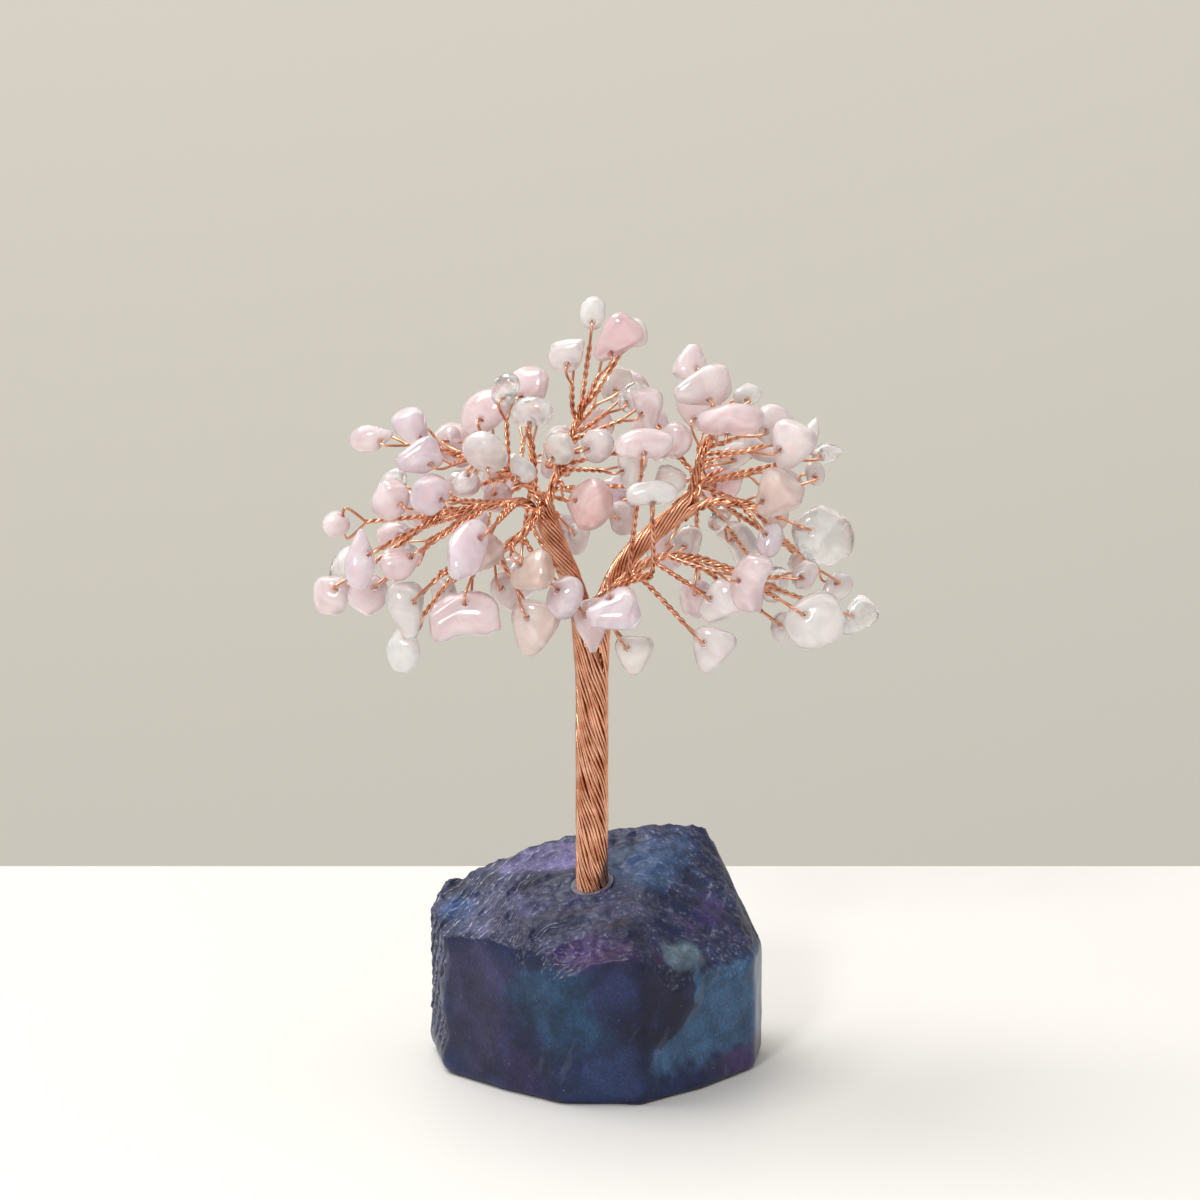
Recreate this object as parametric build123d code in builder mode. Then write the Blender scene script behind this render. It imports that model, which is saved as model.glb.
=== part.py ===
from build123d import *
import math
import os

os.makedirs("parts", exist_ok=True)

# Gemstone tree: copper wires twisted into a trunk on a raw stone, each twig holding a drilled chip.
# The origin is on the flat underside of the stone, on the trunk's axis. +X is right, +Y is back.

# Wire, in millimetres: every twig, bough and trunk strand is the same craft wire
WIRE_DIA = 0.45
WIRE_GAP = 0.03
STRAND_GAP = 0.06

# Trunk
TRUNK_DIA = 5.3
TRUNK_LAY = 45.0
FORK_HEIGHT = 74.0
SOCKET_HEIGHT = 31.3
SOCKET_DEPTH = 12.0
GLUE_FLOOR = 0.6
GLUE_WALL = 0.3
GLUE_RECESS = 1.05
GLUE_FIT = 0.02
CORE_GAP = 0.08

# Limbs and boughs, each a bundle of wires
LEFT_LIMB_DIA = 3.5
RIGHT_LIMB_DIA = 3.2
BOUGH_DIA = 1.15
BUNDLE_GAP = 0.12
BUNDLE_BEND = 8.0
RUN_SHARE = 0.45
LIMB_EXIT = 3.0
BOUGH_EXIT = 1.5

# Twigs and the eyes that hold the chips
TWIG_GRIP = 0.2
TWIG_RISE = 1.2
TWIG_LEAD = 0.8
TWIG_SHORT = 2.6
TWIG_PEEL_ANGLE = 8.0
TWIG_BEND_MAX = 5.0
NECK_BEND_MAX = 1.6
EYE_BEND = 0.45
EYE_GAP = 0.5
EYE_NECK = 2.0
EYE_SHOULDER = 0.92
FIRST_TWIG = 0.14
HOLE_CLEARANCE = 0.35
HOLE_SHARE = 0.45
SWING_ROOM = 1.12
HANG_SQUARE = 0.85

# Stone: plan of the flat underside, then the planes that cleave the top and the sides
STONE_HEIGHT = 40.0
STONE_PLAN = [
    (-27.0, 9.0),
    (-24.5, -4.0),
    (-15.0, -13.0),
    (-5.0, -20.3),
    (8.0, -20.8),
    (18.0, -12.6),
    (26.6, -2.6),
    (28.2, 8.0),
    (20.0, 19.5),
    (4.0, 23.0),
    (-14.0, 21.0),
    (-24.5, 16.0),
]
# Each cleavage plane: a point on it, its rise to the right and its rise to the back
TOP_CLEAVAGE = ((0.0, 0.0, SOCKET_HEIGHT), 0.18, 0.28)
LEFT_CLEAVAGE = ((-16.0, 0.0, 28.2), 0.46, 0.2)
RIGHT_CLEAVAGE = ((18.0, -12.6, 20.4), -0.75, 0.5)
SIDE_CLEAVAGES = [
    ((9.0, 15.0, 37.3), -0.25, 0.28),
    ((23.0, 4.0, 26.4), -1.65, 0.15),
    ((0.0, 15.0, 35.8), 0.15, -0.85),
    ((-16.0, 14.0, 31.2), 0.4, -0.7),
]
# Each broken ledge of the top: the plane it lies along, its depth under it and its outline from above
LEDGES = [
    (TOP_CLEAVAGE, 0.8, [(-13.5, 8.6), (-1.5, 6.2), (-0.5, 9.0), (-12.5, 12.4)]),
    (TOP_CLEAVAGE, 0.6, [(1.0, 8.4), (8.6, 9.6), (8.4, 12.8), (0.4, 11.4)]),
    (TOP_CLEAVAGE, 0.9, [(-13.8, -1.2), (-5.4, 0.6), (-5.8, 4.4), (-13.4, 3.2)]),
    (TOP_CLEAVAGE, 0.7, [(4.4, 0.8), (10.0, 2.0), (9.6, 5.6), (4.0, 4.8)]),
    (TOP_CLEAVAGE, 1.0, [(-13.4, -7.4), (-7.0, -5.2), (-7.6, -2.6), (-13.6, -4.2)]),
    (TOP_CLEAVAGE, 0.7, [(-4.6, -7.6), (4.6, -6.2), (4.2, -4.0), (-4.8, -4.8)]),
    (TOP_CLEAVAGE, 1.1, [(-9.4, -13.4), (0.4, -11.8), (0.0, -8.8), (-9.8, -10.2)]),
    (TOP_CLEAVAGE, 0.8, [(2.0, -11.6), (7.0, -10.4), (7.2, -7.8), (2.4, -8.4)]),
    (TOP_CLEAVAGE, 1.5, [(-7.0, -21.5), (9.5, -22.0), (9.0, -17.0), (3.0, -15.6), (-5.0, -16.6)]),
    (RIGHT_CLEAVAGE, 0.9, [(9.0, -13.6), (14.6, -11.6), (15.6, -8.2), (9.4, -9.4)]),
    (RIGHT_CLEAVAGE, 1.0, [(10.4, -5.8), (19.6, -4.0), (20.2, -0.6), (10.6, -2.0)]),
    (RIGHT_CLEAVAGE, 0.7, [(13.0, 2.2), (19.6, 3.8), (19.0, 7.4), (13.4, 5.8)]),
    (LEFT_CLEAVAGE, 0.8, [(-25.8, -2.0), (-23.2, -5.4), (-18.6, 6.0), (-21.0, 8.4)]),
    (LEFT_CLEAVAGE, 0.7, [(-20.6, -7.4), (-17.4, -10.6), (-15.4, -2.6), (-17.6, -0.4)]),
    (LEFT_CLEAVAGE, 0.9, [(-25.4, 9.0), (-22.4, 9.6), (-19.6, 14.4), (-22.4, 16.0)]),
]
# The scoop where the dark skin has broken away at the right: its depth behind the stone's corner, and
# its outline along the corner's flat and up
SCOOP_CORNER = (18.0, -12.6)
SCOOP_NORMAL = (0.70, -0.71)
SCOOP_DEPTH = 1.1
SCOOP_ROOM = 12.0
SCOOP_OUTLINE = [
    (0.3, 18.6),
    (-0.2, 15.0),
    (-3.9, 11.6),
    (-11.0, 8.8),
    (-7.0, 6.0),
    (2.0, 4.6),
    (9.0, 5.2),
    (13.0, 9.0),
    (12.0, 15.0),
    (5.0, 18.0),
]
UNDERCUT_POINT = (-24.5, 4.0, 0.0)
UNDERCUT_NORMAL = (-0.72, -0.1, -0.69)

# Outlines of a chip: place along its length, breadth and sideways shift, as shares of its half sizes
OVAL = [(-0.96, 0.34, 0), (-0.68, 0.78, 0), (-0.1, 1.0, 0.04), (0.45, 0.92, 0), (0.96, 0.34, 0)]
ROUND = [(-0.95, 0.42, 0), (-0.62, 0.84, 0), (0.0, 1.0, 0), (0.6, 0.86, 0.05), (0.95, 0.4, 0)]
DROP = [(-0.95, 0.46, 0), (-0.58, 0.9, 0), (-0.1, 1.0, 0), (0.5, 0.58, 0), (0.97, 0.2, 0)]
WEDGE = [(-0.97, 0.28, 0), (-0.55, 0.58, 0), (0.0, 0.86, 0), (0.58, 1.0, 0), (0.95, 0.62, 0)]
BEAN = [(-0.95, 0.46, -0.16), (-0.6, 0.82, 0), (0.0, 0.84, 0.16), (0.6, 0.86, 0), (0.95, 0.46, -0.16)]

# Routes of the limbs and boughs, measured from the fork at the trunk's top
LEFT_LIMB_ROUTE = [(-3.6, -0.2, 8.5), (-6.0, -0.8, 14.0), (-7.6, -1.0, 18.5)]
RIGHT_LIMB_ROUTE = [(4.6, -0.3, 10.0), (9.2, -0.6, 15.0), (15.0, -0.8, 19.5)]
CROWN_ROUTE = [(-5.6, 0.6, 24.0), (-3.4, 1.0, 30.0), (-1.2, 0.8, 36.5)]
LEFT_TOP_ROUTE = [(-10.0, -0.6, 23.2), (-15.0, -0.2, 26.0), (-23.0, 0.6, 28.2)]
LEFT_SIDE_ROUTE = [(-12.0, -1.6, 20.6), (-19.0, -2.2, 19.6), (-27.0, -2.6, 18.0)]
LEFT_LOW_ROUTE = [(-9.2, -4.4, 17.6), (-13.0, -5.0, 14.0), (-19.0, -4.6, 11.6), (-24.0, -4.4, 9.4)]
LEFT_BACK_ROUTE = [(-9.4, 4.0, 22.0), (-12.5, 9.0, 22.5), (-15.0, 14.0, 21.5)]
RIGHT_TOP_ROUTE = [(16.4, -1.0, 24.0), (17.4, -1.4, 28.6), (21.0, -1.2, 35.0)]
RIGHT_SIDE_ROUTE = [(20.0, -2.0, 20.8), (25.0, -2.8, 20.4), (28.6, -2.6, 18.6)]
RIGHT_BACK_ROUTE = [(17.0, 3.4, 22.0), (18.0, 8.6, 22.4), (17.0, 13.6, 21.6)]
RIGHT_LOW_ROUTE = [
    (4.6, -3.6, 8.4),
    (10.0, -4.2, 12.4),
    (16.5, -4.6, 12.2),
    (23.0, -4.8, 9.8),
    (28.5, -4.6, 7.0),
]
FRONT_LOW_ROUTE = [(0.2, -4.6, 5.0), (3.0, -6.2, 7.2), (6.0, -7.0, 9.0), (9.6, -7.2, 9.8)]

# Chips of each bough: across, back and up from the fork to the chip's middle, then length, breadth,
# thickness, lean of the length from upright, turn and tip of the drilled face from the front, outline,
# and the own name of a chip that is loose in its eye
CROWN_CHIPS = [
    (-6.2, 8.0, 25.2, 6.2, 5.0, 3.4, 10, 170, 0, OVAL),
    (12.0, -3.4, 23.6, 6.4, 5.4, 3.4, 30, 10, 0, WEDGE),
    (13.2, -2.2, 30.6, 6.0, 5.6, 3.6, 40, 10, 0, ROUND),
    (-0.2, -7.5, 21.2, 8.6, 8.0, 4.2, 60, -10, 0, ROUND),
    (6.2, -6.2, 26.7, 6.8, 5.2, 3.4, 10, 10, 0, WEDGE),
    (-4.9, -6.4, 30.4, 8.0, 5.6, 3.6, 50, -15, 10, DROP),
    (1.0, 5.5, 31.6, 6.0, 5.0, 3.2, 20, 160, 0, OVAL),
    (1.0, -4.4, 30.3, 6.4, 5.4, 3.4, 30, 10, 5, OVAL),
    (9.0, -4.5, 36.0, 7.0, 5.2, 3.4, -5, 15, 0, WEDGE, "loose_ring_eye_chip"),
    (6.6, 1.0, 36.9, 5.8, 4.6, 3.0, 40, 15, 0, OVAL),
    (4.0, 7.5, 37.8, 6.6, 6.0, 3.6, 20, 30, 0, ROUND),
    (-3.7, -2.0, 44.5, 7.2, 5.6, 3.6, 50, -15, 0, DROP, "loose_teardrop_chip"),
    (7.0, 4.5, 46.7, 5.0, 4.0, 3.0, -20, 20, 0, OVAL),
    (3.7, -3.0, 46.9, 9.0, 6.6, 4.0, 40, 15, 0, WEDGE, "loose_crown_chip"),
    (0.2, 1.0, 50.4, 5.6, 4.2, 3.0, 8, 0, 0, OVAL, "loose_top_chip"),
]
LEFT_TOP_CHIPS = [
    (-20.6, 3.5, 22.4, 6.2, 4.8, 3.4, 80, -20, 0, OVAL),
    (-15.2, 2.6, 20.2, 6.0, 4.8, 3.4, 40, -20, 0, OVAL),
    (-9.4, -3.5, 35.2, 7.0, 5.4, 3.6, 80, -20, 0, OVAL),
    (-11.2, -5.6, 26.9, 6.0, 4.6, 3.2, -10, -15, 0, DROP),
    (-10.6, 8.0, 37.0, 9.0, 7.0, 4.0, 60, -30, 0, OVAL),
    (-16.6, -11.0, 30.4, 9.0, 7.4, 4.0, 0, -20, 0, OVAL),
    (-13.6, -1.0, 38.5, 6.0, 4.6, 3.2, 30, -30, 0, OVAL),
    (-17.2, 5.5, 33.6, 9.0, 7.0, 4.0, 45, -20, 0, OVAL),
    (-20.0, -6.4, 24.6, 4.6, 3.8, 2.8, 45, -30, 0, OVAL),
    (-22.9, 5.2, 29.4, 4.8, 4.0, 2.8, 70, -30, 0, ROUND),
    (-27.3, -7.8, 28.8, 7.6, 6.6, 4.0, 75, -25, 0, WEDGE, "loose_left_wedge_chip"),
    (-28.3, -1.6, 32.2, 7.2, 6.0, 3.8, -25, -30, 0, WEDGE),
    (-34.9, 2.0, 30.1, 7.6, 4.6, 3.4, 78, -35, 0, DROP, "loose_left_leaf_chip"),
]
LEFT_SIDE_CHIPS = [
    (-17.7, -9.2, 13.9, 8.4, 6.4, 4.0, 65, -10, 0, OVAL),
    (-19.4, -15.5, 15.7, 11.0, 6.4, 4.4, 35, -10, 0, OVAL),
    (-25.4, -9.5, 23.3, 6.8, 6.6, 4.0, 20, -15, 0, ROUND),
    (-32.0, 3.0, 21.8, 7.4, 4.4, 3.2, 30, -30, 0, OVAL),
    (-30.0, -8.0, 12.0, 7.2, 5.4, 3.8, 70, -15, 0, DROP),
    (-31.8, 5.2, 13.3, 6.8, 4.8, 3.4, 75, -20, 0, OVAL),
    (-31.7, -6.5, 21.8, 6.8, 6.0, 3.6, 30, -20, 0, ROUND),
    (-36.4, -11.5, 13.4, 10.0, 5.0, 4.0, 8, -15, 0, DROP, "loose_left_long_chip"),
    (-35.5, -5.0, 6.1, 7.0, 6.2, 3.8, 40, -20, 0, OVAL),
    (-39.5, 4.0, 8.7, 7.6, 4.8, 3.4, 30, -35, 0, OVAL),
    (-41.6, -1.0, 5.1, 6.6, 6.4, 3.8, 0, -35, 0, ROUND, "loose_far_left_chip"),
    (-40.5, -4.0, 17.4, 5.0, 4.6, 3.8, 0, -10, 80, ROUND, "loose_left_tip_chip"),
]
LEFT_LOW_CHIPS = [
    (-4.2, -11.2, 7.1, 7.4, 5.8, 3.8, 15, -5, 0, OVAL),
    (0.0, -8.5, 2.1, 9.6, 5.6, 3.4, 176, 0, 0, DROP),
    (-9.6, -13.5, 11.5, 8.0, 7.0, 4.0, 60, -5, 0, WEDGE),
    (-9.3, -7.0, 1.1, 9.2, 8.2, 4.4, 10, -5, 0, WEDGE, "loose_pear_chip"),
    (-13.5, -1.5, 5.8, 7.0, 5.4, 3.4, -20, -20, 0, OVAL),
    (-20.2, -9.5, 3.4, 12.0, 8.6, 4.8, 80, -10, 0, BEAN, "loose_bean_chip"),
    (-23.8, 1.2, 5.1, 5.0, 4.4, 3.2, 45, -20, 0, OVAL),
    (-29.3, -8.0, 4.2, 9.4, 6.4, 3.8, -8, -15, 0, WEDGE, "loose_left_hanging_chip"),
    (-30.1, -1.0, -3.1, 9.0, 6.0, 3.6, 5, -25, 0, DROP, "loose_white_hanging_chip"),
]
LEFT_BACK_CHIPS = [
    (-2.4, 6.0, 13.0, 6.0, 4.4, 3.2, 10, 10, 0, OVAL),
    (4.8, 6.0, 16.2, 6.0, 4.6, 3.2, -15, 20, 0, OVAL),
    (-4.0, 13.0, 12.0, 8.0, 6.4, 4.0, 30, 170, 0, OVAL),
    (-5.0, 18.0, 25.0, 8.0, 7.0, 4.0, 20, 190, 0, ROUND),
    (-10.0, 14.0, 33.0, 8.4, 6.6, 4.0, 50, 200, 0, WEDGE),
    (-22.0, 12.0, 27.0, 8.0, 6.6, 4.0, 40, 215, 0, OVAL),
    (-12.0, 13.0, 5.0, 8.0, 6.6, 4.0, 15, 180, 0, OVAL),
    (-28.0, 11.0, 17.0, 7.6, 6.0, 3.8, 30, 230, 0, OVAL),
    (-31.0, 9.0, 8.0, 7.4, 6.0, 3.6, 0, 235, 0, WEDGE),
    (-19.0, 16.0, 12.0, 8.6, 7.0, 4.0, -20, 205, 0, DROP),
    (-15.0, 22.0, 20.0, 9.0, 7.4, 4.2, 10, 190, 0, ROUND),
]
RIGHT_TOP_CHIPS = [
    (22.9, 6.0, 26.4, 7.0, 4.2, 3.2, 80, 20, 0, OVAL),
    (37.4, -1.0, 28.3, 5.6, 3.4, 2.8, 80, 30, 0, DROP, "loose_right_shard_chip"),
    (31.4, -6.8, 30.4, 8.4, 7.4, 3.8, 20, 25, 0, WEDGE),
    (35.0, 5.0, 30.4, 5.4, 3.2, 2.6, 22, 40, 0, DROP),
    (28.8, -1.0, 32.7, 7.2, 6.6, 3.8, -40, 30, 0, ROUND),
    (21.8, -8.5, 35.0, 11.0, 6.8, 4.2, 85, 15, 0, OVAL),
    (24.8, 5.0, 36.5, 5.6, 3.8, 3.0, 80, 25, 0, OVAL),
    (17.3, -5.4, 39.6, 9.6, 7.6, 4.0, 75, 10, 0, WEDGE),
    (15.8, 2.0, 42.3, 6.0, 6.0, 3.6, 188, 15, 0, WEDGE, "loose_right_peak_chip"),
]
RIGHT_SIDE_CHIPS = [
    (20.5, 4.0, 16.7, 5.0, 4.0, 3.0, 10, 20, 0, OVAL),
    (29.0, -8.0, 22.7, 8.6, 8.0, 4.2, 40, 10, 0, WEDGE),
    (28.2, -7.5, 15.5, 5.8, 4.2, 3.0, 10, 5, 0, OVAL),
    (35.7, 4.0, 24.0, 4.4, 3.6, 2.6, -30, 40, 0, OVAL),
    (34.6, 6.5, 9.3, 6.8, 4.8, 3.4, 70, 30, 0, OVAL),
    (39.4, 4.6, 5.1, 6.6, 4.6, 3.2, 60, 40, 0, OVAL),
    (36.8, -4.0, 15.5, 10.0, 9.4, 4.6, -30, 25, 0, ROUND, "loose_clear_chip"),
]
RIGHT_LOW_CHIPS = [
    (15.4, 2.5, 13.0, 6.0, 4.6, 3.2, 20, 10, 0, OVAL),
    (19.0, -7.0, -2.5, 7.6, 7.4, 3.6, 15, 5, 0, WEDGE, "loose_right_hanging_chip"),
    (20.2, -8.0, 5.3, 8.0, 7.0, 4.0, 50, 10, 0, WEDGE),
    (25.0, -13.0, 9.9, 9.6, 6.8, 4.4, 10, 5, 0, BEAN, "loose_hooked_chip"),
    (29.4, 2.0, 6.1, 6.4, 4.6, 3.2, 15, 20, 0, OVAL),
    (30.6, 1.0, -0.6, 5.4, 4.0, 3.0, 0, 20, 0, OVAL),
    (35.5, -9.0, 2.6, 10.0, 9.0, 4.4, 60, 15, 0, ROUND, "loose_grey_chip"),
    (42.4, -1.0, 1.4, 7.2, 5.6, 3.2, 50, 35, 0, WEDGE, "loose_far_right_chip"),
    (34.0, -1.1, 8.4, 5.4, 4.2, 3.0, 30, 20, 0, OVAL),
]
RIGHT_BACK_CHIPS = [
    (29.4, 5.0, 16.9, 5.4, 4.8, 3.2, 0, 20, 0, OVAL),
    (17.0, 10.0, 2.0, 7.4, 6.0, 3.8, 0, 170, 0, OVAL),
    (12.0, 15.0, 9.0, 7.6, 6.4, 3.8, -15, 170, 0, DROP),
    (28.0, 14.0, 3.4, 7.0, 5.6, 3.4, 10, 125, 0, DROP),
    (31.0, 12.4, 20.0, 7.6, 6.4, 3.8, 35, 130, 0, OVAL),
    (4.0, 17.0, 17.0, 8.0, 6.6, 4.0, 20, 175, 0, OVAL),
    (28.0, 12.0, 27.0, 7.4, 6.0, 3.6, 70, 140, 0, OVAL),
    (6.0, 14.0, 36.0, 7.4, 6.0, 3.8, 60, 165, 0, OVAL),
    (17.0, 13.0, 33.0, 8.0, 6.6, 4.0, 40, 155, 0, OVAL),
    (24.0, 16.0, 10.0, 8.2, 6.6, 4.0, 20, 150, 0, BEAN),
    (10.0, 19.0, 27.0, 8.6, 7.0, 4.0, 30, 170, 0, WEDGE),
    (21.0, 21.0, 19.0, 8.4, 7.4, 4.2, 0, 160, 0, ROUND),
]
FRONT_LOW_CHIPS = [
    (8.2, -11.5, 31.8, 9.8, 5.0, 3.8, 85, 5, 0, OVAL),
    (3.2, -13.8, 5.4, 9.0, 7.8, 4.2, 70, 0, 0, WEDGE),
    (6.7, -7.0, -3.3, 6.6, 6.4, 3.6, 0, 0, 0, WEDGE, "loose_front_hanging_chip"),
    (9.4, -13.2, 24.2, 8.4, 4.6, 3.6, 88, 5, 0, OVAL),
]

ROW_SIZE = 10
FORK = Vector(0, 0, FORK_HEIGHT)
UP = Vector(0, 0, 1)
WIRE_RADIUS = WIRE_DIA / 2
LEG_OFFSET = WIRE_RADIUS + WIRE_GAP
HOLE_RADIUS = WIRE_RADIUS + HOLE_CLEARANCE
TRUNK_FOOT = SOCKET_HEIGHT - SOCKET_DEPTH + GLUE_FLOOR


def across(vector, axis):
    """The part of a vector that is square to an axis, as a unit vector."""
    return (vector - axis * vector.dot(axis)).normalized()


def bend_radii(points, largest):
    """One radius for each corner of a route, as large as its two runs allow."""
    radii = []
    for before, corner, after in zip(points, points[1:], points[2:]):
        arriving = corner - before
        leaving = after - corner
        shorter_run = min(arriving.length, leaving.length)
        half_turn = math.radians(arriving.get_angle(leaving)) / 2
        radii.append(min(largest, RUN_SHARE * shorter_run / math.tan(half_turn)))
    return radii


def route_from_fork(points):
    return [FORK + Vector(*point) for point in points]


def route_from_trunk(start, rise, points):
    """A route that leaves the trunk's top straight up and then follows its own points."""
    return [FORK + start, FORK + start + UP * rise] + route_from_fork(points)


def wire_bundle(route, diameter):
    """A bundle of wires along a route of straight runs and tangent arcs, with lobed sides."""
    first_run = (route[1] - route[0]).normalized()
    lobe_ring = diameter / 2 - WIRE_RADIUS
    lobe_count = math.floor(math.pi / math.asin(WIRE_RADIUS / lobe_ring))
    with BuildPart() as bundle:
        with BuildLine() as centre_line:
            FilletPolyline(route, radius=bend_radii(route, diameter * BUNDLE_BEND))
        with BuildSketch(Plane(route[0], z_dir=first_run)):
            Circle(lobe_ring)
            with PolarLocations(lobe_ring, lobe_count):
                Circle(WIRE_RADIUS)
        sweep()
    return bundle.part


def point_along(route, share):
    """The point and direction at a share of a route's length."""
    runs = [end - start for start, end in zip(route, route[1:])]
    remaining = share * sum(run.length for run in runs)
    for start, run in zip(route, runs):
        if remaining <= run.length + 1e-6:
            return start + run.normalized() * remaining, run.normalized()
        remaining -= run.length
    return route[-1], runs[-1].normalized()


def reach_order(row, bough_route):
    """Sorts chips from a bough's root to its tip: near ones and ones far to its side come first."""
    bough_line = (bough_route[-1] - bough_route[1]).normalized()
    to_chip = FORK + Vector(*row[:3]) - bough_route[1]
    along = to_chip.dot(bough_line)
    return along - (to_chip - bough_line * along).length


class ChipSeat:
    """Where a chip sits: its middle, its axes, its drilled hole and the twig that holds it."""

    def __init__(self, row, bough_route, share):
        x, y, z, length, breadth, thickness, lean, turn, tip, outline = row[:ROW_SIZE]
        self.size = (length, breadth, thickness)
        self.outline = outline
        self.middle = FORK + Vector(x, y, z)
        self.root, self.bough_direction = point_along(bough_route, share)
        reach = (self.root - self.middle).normalized()
        turn_rad = math.radians(turn)
        tip_rad = math.radians(tip)
        facing = Vector(
            math.sin(turn_rad) * math.cos(tip_rad),
            -math.cos(turn_rad) * math.cos(tip_rad),
            math.sin(tip_rad),
        )
        self.facing = (facing - reach * facing.dot(reach) * HANG_SQUARE).normalized()
        upright = across(UP, self.facing)
        sideways = upright.cross(self.facing)
        lean_rad = math.radians(lean)
        self.long_axis = upright * math.cos(lean_rad) + sideways * math.sin(lean_rad)
        self.broad_axis = self.facing.cross(self.long_axis)
        self.toward_root = across(reach, self.facing)
        along_share = self.toward_root.dot(self.long_axis) / (length / 2)
        broad_share = self.toward_root.dot(self.broad_axis) / (breadth / 2)
        rim = 1 / math.hypot(along_share, broad_share)
        self.hole = self.middle + self.toward_root * (rim * HOLE_SHARE)
        neck_reach = rim * (1 - HOLE_SHARE) * SWING_ROOM + EYE_NECK
        self.neck = self.hole + self.toward_root * neck_reach
        self.shoulder_reach = rim * (1 - HOLE_SHARE) * EYE_SHOULDER

    def solid(self):
        """A tumbled chip, lofted along its length, with its hole drilled through its thickness."""
        length, breadth, thickness = self.size
        with BuildPart() as chip:
            for place, share, shift in self.outline:
                centre = self.middle + self.long_axis * (place * length / 2)
                centre = centre + self.broad_axis * (shift * breadth / 2)
                with BuildSketch(Plane(centre, x_dir=self.broad_axis, z_dir=self.long_axis)):
                    Ellipse(share * breadth / 2, math.sqrt(share) * thickness / 2)
            loft()
            with Locations(Plane(self.hole, x_dir=self.long_axis, z_dir=self.facing)):
                Hole(HOLE_RADIUS)
        return chip.part

    def twig(self):
        """One wire folded through the chip's hole, its two legs side by side down to the bough."""
        to_neck = (self.neck - self.root).normalized()
        start = self.root
        stem = [start]
        if self.bough_direction.get_angle(to_neck) > TWIG_PEEL_ANGLE:
            outward = across(to_neck, self.bough_direction)
            start = self.root + outward * (BOUGH_DIA / 2 - TWIG_GRIP)
            stem = [start]
            if (self.neck - start).dot(outward) > TWIG_SHORT:
                stem.append(start + outward * TWIG_RISE + self.bough_direction * TWIG_LEAD)
        stem.append(self.neck)
        last_run = (stem[-1] - stem[-2]).normalized()
        first_run = (stem[1] - stem[0]).normalized()
        spread = across(self.facing, last_run) * LEG_OFFSET
        root_spread = across(spread, first_run) * LEG_OFFSET
        spreads = [root_spread] + [spread] * (len(stem) - 1)
        eye_reach = self.facing * (self.size[2] / 2 + EYE_GAP + WIRE_RADIUS)
        near_leg = [point + offset for point, offset in zip(stem, spreads)]
        far_leg = [point - offset for point, offset in zip(stem, spreads)]
        shoulder = self.hole + self.toward_root * self.shoulder_reach
        near_leg.extend([shoulder + eye_reach, self.hole + eye_reach])
        far_leg.extend([shoulder - eye_reach, self.hole - eye_reach])
        peel_count = len(stem) - 2
        leg_bends = bend_radii(near_leg, TWIG_BEND_MAX)
        far_bends = bend_radii(far_leg, TWIG_BEND_MAX)
        neck_bends = [min(leg_bends[-2], NECK_BEND_MAX), min(leg_bends[-1], NECK_BEND_MAX)]
        far_neck_bends = [min(far_bends[-1], NECK_BEND_MAX), min(far_bends[-2], NECK_BEND_MAX)]
        bends = leg_bends[:peel_count] + neck_bends + [EYE_BEND, EYE_BEND] + far_neck_bends
        bends = bends + far_bends[:peel_count]
        path = near_leg + far_leg[::-1]
        with BuildPart() as wire:
            with BuildLine():
                FilletPolyline(path, radius=bends)
            with BuildSketch(Plane(path[0], x_dir=root_spread, z_dir=first_run)):
                Circle(WIRE_RADIUS)
            sweep()
        return wire.part


def save(piece, name):
    piece.label = name
    export_step(piece, f"parts/{name}.step")


def save_group(pieces, name):
    save(Compound(children=pieces), name)



def cleavage_plane(cleavage, depth):
    """The plane of a cleavage, or one that lies a depth under it."""
    point, rise_right, rise_back = cleavage
    return Plane(Vector(*point) - UP * depth, z_dir=(-rise_right, -rise_back, 1))


def ledge_cutter(cleavage, depth, outline):
    """What is broken off above a ledge."""
    with BuildPart() as cutter:
        with BuildSketch():
            with BuildLine():
                Polyline(outline, close=True)
            make_face()
        extrude(amount=STONE_HEIGHT)
        split(bisect_by=cleavage_plane(cleavage, depth), keep=Keep.TOP)
    return cutter.part


# Base stone: the plan drawn up, cleaved by the planes, undercut at the left, broken in ledges and a
# scoop, and drilled for the trunk
scoop_out = Vector(*SCOOP_NORMAL).normalized()
scoop_foot = Vector(*SCOOP_CORNER) - scoop_out * SCOOP_DEPTH
scoop_plane = Plane(scoop_foot, x_dir=UP.cross(scoop_out), z_dir=scoop_out)
ledge_cutters = [ledge_cutter(*ledge) for ledge in LEDGES]
with BuildPart() as base_stone:
    with BuildSketch():
        with BuildLine():
            Polyline(STONE_PLAN, close=True)
        make_face()
    extrude(amount=STONE_HEIGHT)
    for cleavage in [TOP_CLEAVAGE, LEFT_CLEAVAGE, RIGHT_CLEAVAGE] + SIDE_CLEAVAGES:
        split(bisect_by=cleavage_plane(cleavage, 0), keep=Keep.BOTTOM)
    split(bisect_by=Plane(UNDERCUT_POINT, z_dir=UNDERCUT_NORMAL), keep=Keep.BOTTOM)
    add(ledge_cutters, mode=Mode.SUBTRACT)
    with BuildSketch(scoop_plane):
        with BuildLine():
            Polyline(SCOOP_OUTLINE, close=True)
        make_face()
    extrude(amount=SCOOP_ROOM, mode=Mode.SUBTRACT)
    with Locations((0, 0, STONE_HEIGHT)):
        Hole(TRUNK_DIA / 2 + GLUE_WALL, depth=STONE_HEIGHT - SOCKET_HEIGHT + SOCKET_DEPTH)
save(base_stone.part, "base_stone")

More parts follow.
